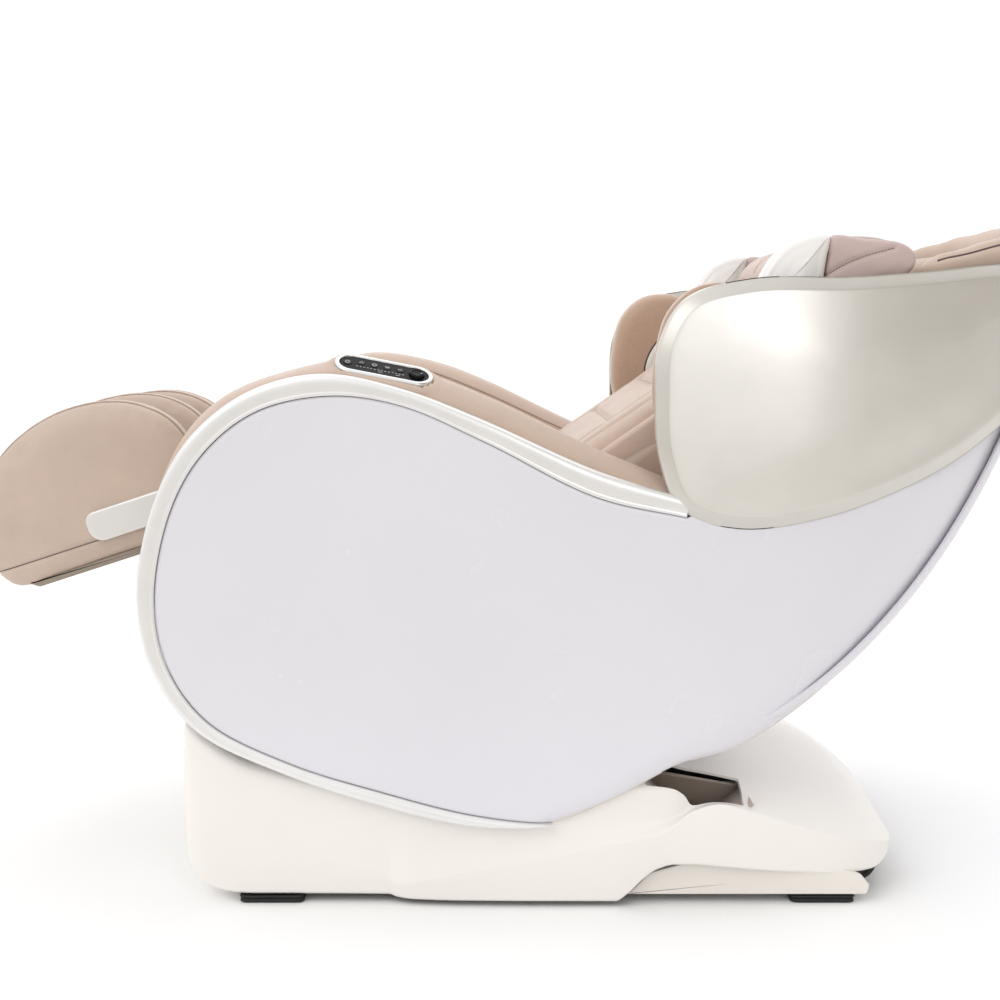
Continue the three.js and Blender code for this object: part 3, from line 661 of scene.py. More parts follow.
def side_trim():
    """Rim round the shell: a fine bead at the seam, then a wide soft-crowned band."""
    count = 220
    outer, inner = curve(TRIM_OUTER, count), curve(TRIM_INNER, count)
    band = [
        (0.8, 364.0), (0.8, 376.4), (1.4, 377.8), (2.8, 378.6), (4.4, 378.6), (5.4, 378.1), (6.4, 378.1),
        (8.0, 378.7),
        (13.0, 379.5), (18.0, 379.8), (22.0, 379.2), (24.6, 377.6), (26.2, 374.4), (26.8, 370.0),
        (26.8, 363.6), (14.0, 363.6),
    ]
    rings = []
    for o, i in zip(outer, inner):
        width = max(np.linalg.norm(o - i), 1.5)
        u = (o - i) / width
        scale = width / 26.8
        rings.append([(i[0] + u[0] * t * scale, -y, i[1] + u[1] * t * scale) for t, y in band])
    return loft("side_rim_left", rings, LOOK["trim"], flat_angle=45)


def wing():
    """Outer wing: one moulding with a chamfered border and a softly swollen face."""
    outline = curve(WING_EDGE, 220, closed=True)

    def surface(x, depth, inset):
        lip = 1 - smooth(x, 285, 335)
        swell = 7.5 * smooth(inset, 21, 130)
        return wing_y(x) + np.where(depth > 12, 12.5 + (depth - 12.5) * lip, depth - swell)

    body = dished(
        "wing_face_left", outline,
        [(9, 12.4), (5, 12.5), (3, 22), (1, 22), (0, 19), (0.3, 16), (1.2, 13.4), (3.0, 11.4), (6, 9.4),
        (11, 6.2),
         (16, 3.2), (18.4, 1.9), (19.6, 1.5), (21.0, 1.3), (26, 1.0)],
        LOOK["wing"], (545, 752), surface, inner=(0.97, 0.94, 0.9, 0.85, 0.78, 0.7, 0.6, 0.48, 0.34, 0.2,
        0.08))
    # Faces of the chamfered border take the darker copy of the wing paint: painted shade
    body.data.materials.append(LOOK["wing_rim"])
    points = drafted(body)
    middles = np.array([points[list(f.vertices)].mean(0) for f in body.data.polygons])
    inside, _ = distance_to_line(middles[:, [0, 2]], outline, closed=True)
    for face, gap in zip(body.data.polygons, inside):
        if gap < 19.2:
            face.material_index = 1
    return body


PAD_EDGE = [
    (243, 748), (246, 816), (262, 872), (298, 906), (346, 914), (384, 903), (410, 881), (520, 876),
    (660, 884), (772, 893),
    (768, 884), (700, 866), (640, 843), (520, 760), (380, 645), (338, 624), (298, 630), (262, 676),
]


def wing_lining():
    outline = curve(PAD_EDGE, 170, closed=True)
    centre = np.array([400.0, 790.0])

    def surface(x, depth, inset):
        thick = 1 - 0.5 * smooth(x, 420, 770)
        return panel_y(x) + 14.5 + depth * thick

    rings = []
    profile = [(3, 0), (0, 5), (0, 24), (1.5, 34), (5, 42), (10, 47.5), (16, 50.5)]
    for s in (0.3, 0.7):
        flat = centre + (inset_loop(outline, 3) - centre) * s
        rings.append(at_y(flat, surface(flat[:, 0], 0, 0)))
    for inset, depth in profile:
        share = 1 - 0.75 * smooth(outline[:, 0], 560, 760)
        tangent = inset_loop(outline, 1) - outline
        flat = outline + tangent * (inset * share)[:, None]
        rings.append(at_y(flat, surface(flat[:, 0], depth, inset)))
    edge = rings[-1][:, [0, 2]]
    for s, depth in ((0.93, 52), (0.82, 53.5), (0.65, 54.5), (0.4, 55), (0.15, 55)):
        flat = centre + (edge - centre) * s
        rings.append(at_y(flat, surface(flat[:, 0], depth, 30)))
    return loft("wing_lining_left", rings, LOOK["wing_lining"])


def oval(centre, a, b, angle):
    t = np.linspace(0, 2 * math.pi, 72, endpoint=False)
    c, s = math.cos(math.radians(angle)), math.sin(math.radians(angle))
    x, z = a * np.cos(t), b * np.sin(t)
    return np.stack([centre[0] + c * x - s * z, centre[1] + s * x + c * z], 1)


def wing_inset():
    """Cream oval cover on the lining's inner face, in a dark gasket."""
    level = -PANEL_Y + 14.5 + 53
    cover = oval((372, 803), 82, 47, 44)
    rings = []
    for inset, y in ((4, -4), (0.4, -1), (0.6, 1.2), (2.5, 2.6), (7, 3.6)):
        flat = inset_loop(cover, inset)
        rings.append(at_y(flat, level + y))
    for s in (0.8, 0.55, 0.25):
        flat = cover.mean(0) + (inset_loop(cover, 7) - cover.mean(0)) * s
        rings.append(at_y(flat, level + 3.6 + 1.6 * (1 - s)))
    lid = loft("wing_inset_left", rings, LOOK["inset"], flat_angle=60)
    ring = inset_loop(cover, -0.9)
    line = at_y(ring, level + 0.4)
    gasket = tube("wing_gasket_left", line, 1.7, LOOK["gasket"], sides=8, closed=True)
    return lid, gasket


# ---------------------------------------------------------------- armrests and controls
STRIP_SLOPE = math.radians(11)
STRIP_LEAN = math.radians(28)
STRIP_AXES = np.array([
    [math.cos(STRIP_SLOPE), 0, -math.sin(STRIP_SLOPE)],
    [math.sin(STRIP_SLOPE) * math.sin(STRIP_LEAN), math.cos(STRIP_LEAN),
    math.cos(STRIP_SLOPE) * math.sin(STRIP_LEAN)],
    [math.sin(STRIP_SLOPE) * math.cos(STRIP_LEAN), -math.sin(STRIP_LEAN),
    math.cos(STRIP_SLOPE) * math.cos(STRIP_LEAN)],
])
STRIP_AT = np.array([-147.0, -333.0, 787.0])


def strip_point(x, y, z):
    return tuple(STRIP_AT + np.array([x, y, z]) @ STRIP_AXES)


def to_strip(points):
    return (points - STRIP_AT) @ STRIP_AXES.T


def stadium_distance(x, y, length, width):
    half = length / 2 - width / 2
    return np.hypot(x - np.clip(x, -half, half), y) - width / 2


ARM_UNDER = [(-505, 452), (-470, 450), (-400, 530), (-300, 560), (-150, 528), (20, 500), (150, 520),
    (300, 560)]


def armrest(pocket):
    """Leather armrest: a soft crown that stands over the rim, and a flat face towards the seat."""
    path = curve(TRIM_OUTER[:9], 190)
    path = path[path[:, 1] > 452]
    under = resample(curve(ARM_UNDER, 60), 60)
    tangent = unit(np.gradient(path, axis=0))
    out = np.stack([tangent[:, 1], -tangent[:, 0]], 1)
    if out[len(out) // 2][1] < 0:
        out = -out
    x = path[:, 0]
    rise = np.interp(x, [-507, -480, -430, -388, -330, -270, -200, -120, -50, 20, 110, 200, 290],
                     [1, 6, 14, 16, 10, 9, 22, 28, 31, 30, 28, 24, 12])
    rise = np.convolve(np.pad(rise, 6, mode="edge"), np.ones(13) / 13, mode="valid")
    across = [
        (-361.8, -4.0), (-361.4, -0.6), (-360, 0.05), (-357, 0.22), (-352, 0.42), (-345, 0.62), (-336, 0.8),
        (-324, 0.94), (-312, 1.0),
        (-300, 0.99), (-289, 0.93), (-279, 0.82), (-270, 0.64), (-263, 0.4), (-257.5, 0.1), (-254, -0.3),
        (-252.2, -0.8), (-251.6, -1.6),
    ]
    rings = []
    for y, share in across:
        lift = rise * share if share > 0 else np.full(len(x), share * 4.0)
        line = path + out * lift[:, None]
        loop = np.vstack([line, under])
        rings.append(at_y(loop, y))
    arm = loft("armrest_pad_left" if pocket else "armrest_pad_plain", rings, LOOK["arm_leather"],
        flat_angle=55)
    if pocket:
        points = drafted(arm)
        local = to_strip(points)
        gap = stadium_distance(local[:, 0], local[:, 1], 143, 49)
        near = (gap < 16) & (local[:, 2] > -30) & (local[:, 2] < 40)
        wanted = np.where(gap < 0, -5.0, 3.2)
        share = 1 - smooth(gap, 2, 16)
        move = np.where(near, (wanted - local[:, 2]) * share, 0)
        points += move[:, None] * STRIP_AXES[2]
        set_coords(arm, to_row(points))
    return arm, path, out, rise


def arm_piping(path, out, rise, name):
    inner = path + out * (rise * 0.34)[:, None]
    keep = slice(2, -3)
    line = np.stack([inner[keep, 0], np.full(len(inner[keep]), -261.2), inner[keep, 1]], 1)
    return tube(name, line, 1.5, LOOK["piping"], sides=6)


def stadium(length, width):
    half, r = length / 2 - width / 2, width / 2
    t = np.linspace(-math.pi / 2, math.pi / 2, 32)
    right = np.stack([half + r * np.cos(t), r * np.sin(t)], 1)
    return np.vstack([right, -right])


def strip_loft(name, profile, look):
    """Rings of stadium shape on the control strip, from (length, width, height) triples."""
    rings = []
    for length, width, height in profile:
        rings.append([strip_point(px, py, height) for px, py in stadium(length, width)])
    return loft(name, rings, look, caps=False, close_rows=True, flat_angle=40)


KNOB_X = 48


def control_strip():
    ring = strip_loft("strip_frame", [
        (131, 37, -2.4), (131, 37, 4.6), (132.4, 38.4, 5.6), (136, 42, 6.2), (141, 47, 5.8),
        (144.5, 50.5, 4.2),
        (145.5, 51.5, 2.0), (144, 50, -1.0), (140, 46, -4.6), (133, 39, -4.6),
    ], LOOK["bezel"])
    place(ring, "seat_shell", ["control_bezel"])
    line = [strip_point(-40 + 2.6 * i, -6.2, 4.3) for i in range(29)]
    for i in range(0, 28, 2):
        dash = tube(f"strip_dash_{i // 2}", [line[i], line[i + 1]], 0.35, LOOK["mark"], sides=6)
        place(dash, "seat_shell")
    marks = {
        "ring": [(3.0 * math.cos(a), 3.0 * math.sin(a)) for a in np.linspace(0, 2 * math.pi, 20)],
        "chevron": [(-3, -2), (0, 2.4), (3, -2)],
        "bars": [(-3, 0), (3, 0)],
        "wave": [(-3 + 0.5 * i, 1.6 * math.sin(i * 0.9)) for i in range(13)],
    }
    for key, (cx, cy, kind, body) in {
        "a": (-34, 5, "chevron", "mode_key_1"), "b": (-15, 5, "ring", "mode_key_2"),
        "c": (4, 5, "wave", "mode_key_3"), "d": (23, 5, "bars", "mode_key_4"),
        "e": (-54, 0, "ring", "power_key"),
    }.items():
        top = 5.0 if key == "e" else 4.8
        line = [strip_point(cx + px, cy + py, top + 0.1) for px, py in marks[kind]]
        place(tube(f"key_mark_{key}", line, 0.32, LOOK["mark"], sides=6), body)
    for key, cx in (("f", -4), ("g", 22)):
        line = [strip_point(cx - 3 + 1.5 * i, -11.5 + 0.9 * (i % 2), 4.3) for i in range(5)]
        place(tube(f"strip_mark_{key}", line, 0.32, LOOK["mark"], sides=6), "seat_shell")
    knob = []
    for radius, height in ((9.6, -0.6), (10.6, 0.4), (10.9, 6.4), (10.4, 8.0), (9.2, 9.0), (8.4, 9.1),
        (7.8, 8.6), (6.0, 8.0), (2.0, 7.7)):
        a = np.linspace(0, 2 * math.pi, 96, endpoint=False)
        grip = np.where(np.arange(96) % 4 < 2, 0.0, -0.35) if 0.3 < height < 7 else np.zeros(96)
        knob.append([strip_point(KNOB_X + (radius + g) * math.cos(t), (radius + g) * math.sin(t),
            height) for t, g in zip(a, grip)])
    place(loft("jog_dial", knob, LOOK["panel_black"], flat_angle=40), "jog_knob", ["jog_knob"])
    tick = [strip_point(KNOB_X + px, 0, 8.9) for px in (4.8, 7.4)]
    place(tube("jog_tick", tick, 0.4, LOOK["mark"], sides=6), "jog_knob")


# ---------------------------------------------------------------- padding, seams and stitches
CLOTH_STEPS = 20


def puffed(obj, cap, voxel=6.0):
    """Swells a padded form as cloth under pressure. cap is the furthest a point may move, in millimetres."""
    modifier(obj, "REMESH", mode="VOXEL", voxel_size=voxel / 1000, use_smooth_shade=True)
    bake(obj)
    start = coords(obj)
    cloth = obj.modifiers.new("cloth", "CLOTH")
    cloth.settings.quality = 4
    cloth.settings.mass = 0.25
    cloth.settings.tension_stiffness = 12
    cloth.settings.compression_stiffness = 12
    cloth.settings.bending_stiffness = 0.4
    cloth.settings.use_pressure = True
    cloth.settings.uniform_pressure_force = 4.0
    cloth.settings.effector_weights.gravity = 0
    cloth.collision_settings.use_collision = False
    scene = bpy.context.scene
    for step in range(1, CLOTH_STEPS + 1):
        scene.frame_set(step)
    graph = bpy.context.evaluated_depsgraph_get()
    end = coords(obj.evaluated_get(graph))
    obj.modifiers.clear()
    scene.frame_set(1)
    move = end - start
    move -= move.mean(0)
    size = np.linalg.norm(move, axis=1)
    limit = cap / 1000
    capped = limit * np.tanh(size / limit)
    set_coords(obj, start + move * (capped / np.maximum(size, 1e-9))[:, None])
    modifier(obj, "SMOOTH", factor=0.5, iterations=3)
    modifier(obj, "SUBSURF", levels=1, render_levels=1)
    bake(obj)
    shade(obj)
    return obj


def tree_of(obj):
    """A search tree over the object's faces, in millimetres of the drafting frame."""
    points = drafted(obj)
    return BVHTree.FromPolygons([Vector(p) for p in points], [tuple(f.vertices) for f in obj.data.polygons])


def on_surface(obj, line, direction, lift=0.0):
    """Drops a line of points onto the object along a direction, and returns those that hit it."""
    tree = tree_of(obj)
    direction = Vector(direction).normalized()
    hits = []
    for p in np.asarray(line, float):
        spot, _, _, _ = tree.ray_cast(Vector(p) - direction * 500, direction)
        if spot is not None:
            hits.append(np.array(spot - direction * lift))
    return np.array(hits)


def nearest_on(obj, line, lift=0.0):
    """The places on the object nearest to each point of a line, lifted off along the normal."""
    tree = tree_of(obj)
    hits = []
    for p in np.asarray(line, float):
        spot, normal, _, _ = tree.find_nearest(Vector(p))
        hits.append(np.array(spot + normal * lift))
    return np.array(hits)


def groove(obj, line, width, depth):
    """Presses a soft channel into the object along a line on its surface."""
    if len(line) < 2:
        return
    points = drafted(obj)
    n = len(points)
    normals = np.empty(n * 3, np.float32)
    obj.data.vertices.foreach_get("normal", normals)
    normals = normals.reshape(-1, 3)
    line = resample(line, max(2, min(len(line), 60)))
    low, high = line.min(0) - 3 * width, line.max(0) + 3 * width
    near = np.all((points > low) & (points < high), axis=1)
    best = np.full(near.sum(), np.inf)
    spots = points[near]
    for a, b in zip(line[:-1], line[1:]):
        ab = b - a
        t = np.clip(((spots - a) @ ab) / max(ab @ ab, 1e-9), 0, 1)
        best = np.minimum(best, np.linalg.norm(spots - (a + t[:, None] * ab), axis=1))
    points[near] -= normals[near] * (depth * np.exp(-(best / width) ** 2))[:, None]
    set_coords(obj, to_row(points))


def stitches(name, line, look, pitch=5.5, length=3.6, radius=0.5):
    """A row of thread stitches along a line of points, as one mesh."""
    line = np.asarray(line, float)
    total = np.sum(np.linalg.norm(np.diff(line, axis=0), axis=1))
    count = max(2, int(total / pitch))
    fine = resample(line, count * 4 + 1)
    points, faces = [], []
    sides = 6
    for i in range(count):
        a, b = fine[i * 4], fine[i * 4 + 2]
        along = b - a
        size = np.linalg.norm(along)
        if size < 1e-6:
            continue
        along /= size
        up = np.array([0.0, 1.0, 0.0]) if abs(along[1]) < 0.8 else np.array([0.0, 0.0, 1.0])
        side = np.cross(along, up)
        side /= np.linalg.norm(side)
        over = np.cross(side, along)
        first = len(points)
        for t, r in ((-0.5, 0.35), (-0.3, 1.0), (0.3, 1.0), (0.5, 0.35)):
            centre = (a + b) / 2 + along * t * length
            for k in range(sides):
                w = 2 * math.pi * k / sides
                points.append(centre + radius * r * (math.cos(w) * side + math.sin(w) * over))
        for r in range(3):
            for k in range(sides):
                k1 = (k + 1) % sides
                faces.append((first + r * sides + k, first + r * sides + k1,
                              first + (r + 1) * sides + k1, first + (r + 1) * sides + k))
        faces.append(tuple(first + k for k in range(sides - 1, -1, -1)))
        faces.append(tuple(first + 3 * sides + k for k in range(sides)))
    return make_object(name, points, faces, look)


def copy_pair(pieces):
    """Mirrors placed left-hand pieces: a list of (object, body, nodes, slot, fill). slot and fill are not
    used.
    """
    for obj, body, nodes, slot, fill in pieces:
        twin = mirrored(obj, obj.name.replace("_left", "") + "_right")
        right = [n.replace("_left", "_right") for n in nodes]
        place(obj, body, nodes)
        place(twin, body, right)


# ---------------------------------------------------------------- base
BASE_TABLE = [
    # x, lower y, lower z, ridge y, ridge z, hollow y, hollow z, top y, top z, centre z
    (-451, 336, 74, 338, 100, 340, 170, 338, 262, 264),
    (-447, 342, 52, 344, 96, 347, 170, 346, 266, 270),
    (-438, 346, 34, 349, 92, 352, 165, 350, 262, 268),
    (-418, 348, 14, 352, 84, 354, 158, 353, 246, 252),
    (-385, 348, 3, 353, 70, 355, 140, 354, 222, 228),
    (-350, 348, 0, 353, 60, 355, 132, 354, 205, 208),
    (-250, 348, 0, 353, 50, 355, 112, 354, 188, 190),
    (-145, 350, 0, 355, 30, 356, 92, 354, 186, 188),
    (-132, 354, -3, 361, 24, 356, 84, 354, 186, 188),
    (-110, 360, -4, 368, 27, 357, 82, 354, 186, 188),
    (-38, 366, -4, 372, 44, 358, 94, 354, 186, 187),
    (90, 368, -4, 374, 68, 360, 108, 354, 186, 187),
    (196, 368, -4, 374, 90, 362, 118, 354, 184, 185),
    (212, 368, 6, 374, 93, 362, 118, 354, 182, 184),
    (236, 368, 30, 374, 98, 362, 118, 354, 180, 183),
    (258, 368, 46, 374, 103, 361, 118, 354, 178, 181),
    (284, 368, 53, 374, 122, 358, 122, 352, 176, 178),
    (310, 368, 53, 374, 142, 352, 134, 346, 168, 175),
    (346, 368, 50, 374, 151, 348, 144, 330, 160, 172),
    (400, 367, 45, 372, 138, 344, 138, 300, 148, 166),
    (470, 360, 38, 366, 114, 338, 120, 290, 130, 152),
    (540, 348, 32, 354, 95, 324, 100, 280, 108, 135),
    (590, 326, 31, 332, 80, 300, 84, 240, 94, 117),
    (620, 292, 38, 297, 68, 266, 72, 196, 80, 98),
    (636, 244, 44, 248, 60, 220, 63, 150, 70, 84),
    (643, 186, 48, 189, 55, 164, 58, 110, 64, 74),
]


def table_row(table, x):
    """One row of a table of stations at x, smoothly between its rows without overshoot."""
    table = np.asarray(table, float)
    xs = table[:, 0]
    step = np.diff(table, axis=0) / np.diff(xs)[:, None]
    slope = np.zeros_like(table)
    slope[0], slope[-1] = step[0], step[-1]
    same = step[:-1] * step[1:] > 0
    with np.errstate(divide="ignore", invalid="ignore"):
        mean = 2 * step[:-1] * step[1:] / (step[:-1] + step[1:])
    slope[1:-1] = np.where(same, np.nan_to_num(mean), 0)
    i = int(np.clip(np.searchsorted(xs, x) - 1, 0, len(xs) - 2))
    h = xs[i + 1] - xs[i]
    t = (x - xs[i]) / h
    a, b = table[i], table[i + 1]
    return ((1 + 2 * t) * (1 - t) ** 2 * a + t * (1 - t) ** 2 * h * slope[i]
            + t * t * (3 - 2 * t) * b + t * t * (t - 1) * h * slope[i + 1])


def rounded_corner(points, radii, steps=5):
    """An open polyline with its inner corners rounded, each with its own radius."""
    points = np.asarray(points, float)
    out = [points[0]]
    for i in range(1, len(points) - 1):
        a, p, b = points[i - 1], points[i], points[i + 1]
        u, v = a - p, b - p
        lu, lv = np.linalg.norm(u), np.linalg.norm(v)
        reach = min(radii[i - 1], 0.46 * lu, 0.46 * lv)
        start, end = p + u / max(lu, 1e-9) * reach, p + v / max(lv, 1e-9) * reach
        for k in range(steps + 1):
            t = k / steps
            out.append((1 - t) ** 2 * start + 2 * t * (1 - t) * p + t * t * end)
    out.append(points[-1])
    return np.array(out)


def base_section(x):
    _, yl, zl, yr, zr, yh, zh, yt, zt, zc = table_row(BASE_TABLE, x)
    half = rounded_corner(
        [(yl - 7, zl), (yl, zl + 4), (yr, zr), (yh, zh), (yt, zt), (yt * 0.62, (zt * 0.4 + zc * 0.6)),
        (0, zc)],
        [4, 3.2, 26, 22, 60],
        steps=6,
    )
    left = np.stack([np.full(len(half), x), -half[:, 0], half[:, 1]], 1)
    right = left[::-1][1:] * [1, -1, 1]
    return np.vstack([left, right])


POCKET_Y = (262, 351)


def base_cover():
    xs = np.concatenate([
        np.linspace(-451, -435, 9), np.linspace(-431, -350, 22), np.linspace(-345, -150, 24),
        np.linspace(-146, -100, 20),
        np.linspace(-92, 190, 36), np.linspace(193, 350, 70), np.linspace(354, 585, 44),
        np.linspace(588, 641, 30),
    ])
    rows = np.array([base_section(x) for x in xs])
    n = rows.shape[1]
    points = rows.reshape(-1, 3)
    faces = grid_faces(len(xs), n)
    front = [points[i] for i in range(n)]
    last = len(points)
    centre = np.mean(front, 0)
    points = np.vstack([points, [centre]])
    faces += [(i, (i + 1) % n, last) for i in range(n)]
    rear = len(points)
    base = (len(xs) - 1) * n
    points = np.vstack([points, [np.mean(points[base:base + n], 0)]])
    faces += [(base + (i + 1) % n, base + i, rear) for i in range(n)]
    apron = []
    for x in xs[xs <= -340]:
        row = table_row(BASE_TABLE, x)
        apron.append([(x, y, row[2]) for y in np.linspace(-row[1] + 7, row[1] - 7, 9)])
    under = len(points)
    points = np.vstack([points, np.array(apron).reshape(-1, 3)])
    faces += [tuple(under + i for i in face) for face in grid_faces(len(apron), 9)]
    cover = open_sheet("base_shell", points, faces, LOOK["base_shell"], (0, 0, 1), 4)
    wall = [(236, 196), (238, 176), (297, 108), (326, 98), (352, 108), (386, 138), (404, 176), (410, 240),
        (236, 240)]
    for side in (-1, 1):
        ring = [[(x, side * y, z) for x, z in wall] for y in POCKET_Y]
        cutter = loft("pocket", ring, LOOK["base_shell"])
        cut(cover, cutter)
    shade(cover, 32)
    for side, tag in ((-1, "left"), (1, "right")):
        # Floor and side wall plates of each cheek pocket, in the dark pocket look: painted shade of the
        # recess
        outer = resample([(238, 172), (297, 108), (326, 98), (352, 108), (386, 132), (401, 143)], 60)
        ring = [at_y(outer, side * y) for y in POCKET_Y]
        floor = make_object(f"base_pocket_{tag}", np.vstack(ring), grid_faces(2, 60), LOOK["pocket"])
        side_wall = at_y(outer, side * (POCKET_Y[0] + 0.5))
        plate = make_object(f"base_pocket_wall_{tag}", side_wall, [tuple(range(60))], LOOK["pocket"])
        for piece in (floor, plate):
            modifier(piece, "SOLIDIFY", thickness=0.003, offset=0.0)
            bake(piece)
            place(piece, "base")
    place(cover, "base", ["base_cover"])
    return cover


def base_skirt():
    side = [(215, 2), (248, 36), (300, 51), (420, 47), (540, 41), (566, 33), (580, 16), (576, 2)]
    skirt = rounded_slab("base_skirt_left", resample(side, 120, closed=True), -350, -341, 2,
        LOOK["base_skirt"], steps=3)
    copy_pair([(skirt, "base", ["base_skirt_left"], "base_skirt", None)])


def rubber_foot(x, name, node):
    """Moulded foot: a flared pad with a tread line and a shallow recess in its underside."""
    rings = []
    for inset, z in ((8, -2), (1.0, -0.6), (0, -2.4), (1.2, -4.6), (2.2, -5.2), (1.2, -5.8), (0.6, -10.4),
        (2.4, -11.9), (9, -11.9), (12, -10.6)):
        a, b, r = 49 - inset, 30 - inset, 9.0
        ring = []
        for cx, cy, start in ((1, 1, 0), (-1, 1, 90), (-1, -1, 180), (1, -1, 270)):
            for k in range(7):
                t = math.radians(start + 15 * k)
                ring.append((x + cx * (a - r) + r * math.cos(t), -320 + cy * (b - r) + r * math.sin(t), z))
        rings.append(ring)
    foot = loft(name, rings, LOOK["foot_rubber"], flat_angle=40)
    copy_pair([(foot, "base", [node], "foot_rubber", None)])


def transport_wheel():
    cx, cz, cy, w = 580, 24, 262, 26
    profile = [(6.3, -w / 2), (9, -w / 2), (9.5, -w / 2 + 1.5), (22, -w / 2 + 1.5), (23, -w / 2),
        (27, -w / 2), (30, -w / 2 + 1.6),
               (31.6, -w / 2 + 5), (31.8, -4), (30.6, -3), (30.6, 3), (31.8, 4), (31.6, w / 2 - 5),
               (30, w / 2 - 1.6), (27, w / 2),
               (23, w / 2), (22, w / 2 - 1.5), (9.5, w / 2 - 1.5), (9, w / 2), (6.3, w / 2)]
    rings = []
    for k in range(48):
        a = 2 * math.pi * k / 48
        rings.append([(cx + math.cos(a) * q, -cy + y, cz + math.sin(a) * q) for q, y in profile])
    wheel = loft("castor_left", rings, LOOK["wheel_rubber"], close_rows=True, flat_angle=40)
    twin = mirrored(wheel, "castor_right")
    place(wheel, "wheel_left", ["transport_wheel_left"])
    place(twin, "wheel_right", ["transport_wheel_right"])


# ---------------------------------------------------------------- belly and back covers
def belly_cover():
    arc = [(-250 + 245 * math.cos(math.radians(a)),
        450 + 245 * math.sin(math.radians(a))) for a in np.linspace(208, 262, 24)]
    line = curve([(-372, 500), (-412, 430), (-452, 372)] + arc + [(-160, 206), (0, 206), (120, 212),
        (220, 226), (306, 250)], 150)
    half = 361.5
    ys = np.concatenate([[-half, -half + 1.2, -half + 4, -half + 9], np.linspace(-half + 20, half - 20, 36),
        [half - 9, half - 4, half - 1.2, half]])
    inner = offset_line(line, 1.0)
    if np.hypot(*(inner[75] - [-250, 450])) > np.hypot(*(line[75] - [-250, 450])):
        inner = offset_line(line, -1.0)
    normal = inner - line
    rows = []
    for y in ys:
        edge = max(0.0, 1 - (half - abs(y)) / 9)
        drop = 7 * (1 - math.sqrt(max(0.0, 1 - edge ** 2)))
        flat = line + normal * drop
        rows.append(at_y(flat, y))
    points = np.array(rows).reshape(-1, 3)
    cover = open_sheet("belly_shell", points, grid_faces(len(ys), len(line)), LOOK["belly"], (0, 0, -1), 4.5)
    for side in (-1, 1):
        corners = [(x, side * 312 + y, z) for x in (-411, -173) for y in (-10, 10) for z in (100, 420)]
        faces = [(0, 1, 3, 2), (4, 6, 7, 5), (0, 4, 5, 1), (2, 3, 7, 6), (0, 2, 6, 4), (1, 5, 7, 3)]
        cutter = make_object("cutter", corners, faces, LOOK["belly"])
        cut(cover, cutter)
    shade(cover, 40)
    place(cover, "seat_shell", ["belly_cover"])
    for side in (-1, 1):
        loop = []
        for x in np.linspace(-405, -180, 30):
            i = np.argmin(np.where(line[:, 1] < 400, np.abs(line[:, 0] - x), 1e9))
            loop.append((line[i, 0], line[i, 1]))
        loop = np.array(loop)
        for k, off in enumerate((-11.5, 11.5)):
            lip = tube(f"belly_slot_lip_{'left' if side < 0 else 'right'}_{k}",
                       at_y(loop, side * 312 + off), 1.6, LOOK["gasket"], sides=6)
            place(lip, "seat_shell")
    return cover


BACK_LINE = [(322, 240), (380, 248), (488, 307), (617, 422), (723, 558), (814, 732), (852, 866), (860, 902)]


def back_cover():
    """Rear cover between the side shells: softly crowned, with rolled edges and cooling slots."""
    line = np.vstack([curve(BACK_LINE, 112), curve([(860, 902), (859, 909), (852, 914), (836, 915),
        (800, 912)], 14)[1:]])
    line = resample(line, 128)
    us = np.concatenate([[-1, -0.995, -0.985, -0.965, -0.93, -0.88], np.linspace(-0.8, 0.8, 33),
        [0.88, 0.93, 0.965, 0.985, 0.995, 1]])
    normal = offset_line(line, 1.0) - line
    if normal[60][0] > 0:
        normal = -normal
    rows = []
    for u in us:
        half = -panel_y(line[:, 0]) - 13.5
        y = u * half
        near = (1 - abs(u)) * half
        t = np.clip(1 - near / 26, 0, 1)
        drop = 20 * (1 - np.sqrt(1 - 0.97 * t ** 2))
        flat = line + normal * drop[:, None]
        rows.append(at_y(flat, y))
    points = np.array(rows).reshape(-1, 3)
    cover = open_sheet("rear_shell", points, grid_faces(len(us), len(line)), LOOK["back_shell"], (1, 0, -0.6),
        5)
    shade(cover, 45)
    place(cover, "seat_shell", ["back_cover"])
    line3 = []
    for share in np.linspace(0.14, 0.5, 9):
        p = line[int(share * 119)]
        out = -normal[int(share * 119)]
        spot = p + out * 0.2
        slot_line = [(spot[0], y, spot[1]) for y in np.linspace(-95, 95, 24)]
        line3.append(slot_line)
    for i, slot_line in enumerate(line3):
        vent = tube(f"rear_vent_{i + 1}", slot_line, 2.6, LOOK["gasket"], sides=8)
        place(vent, "seat_shell")
    return cover


# ---------------------------------------------------------------- seat, back and head padding
def across(outline, name, half, radius, look, crown, width_at=None):
    """A cushion over a side outline, swollen across its width."""
    slab = rounded_slab(name, outline, -half, half, radius, look, steps=6, crown=crown)
    if width_at is not None:
        points = drafted(slab)
        points[:, 1] *= width_at(points[:, 0]) / half
        set_coords(slab, to_row(points))
    return slab


def densified(obj, length):
    """Splits long edges so that a form made of rings bends and swells evenly."""
    modifier(obj, "REMESH", mode="VOXEL", voxel_size=length / 1000, use_smooth_shade=True)
    bake(obj)
    modifier(obj, "SMOOTH", factor=0.5, iterations=2)
    bake(obj)
    shade(obj)
    return obj


def sewn(obj, name, line, direction, width, depth):
    """A channel pressed into a cushion along a line, with a row of thread in it."""
    line = on_surface(obj, line, direction)
    groove(obj, line, width, depth)
    return stitches(name, on_surface(obj, line, direction, 0.15), LOOK["thread"], 6.0, 4.0, 0.5)


DOWN = (0, 0, -1)
ABOVE_SEAT = 900
SEAT_TOP = [(-336, 566), (-356, 604), (-386, 636), (-402, 655), (-394, 668), (-300, 646), (-120, 600),
    (20, 571)]
SEAT_UNDER = [(34, 528), (28, 498), (-118, 510), (-322, 556)]


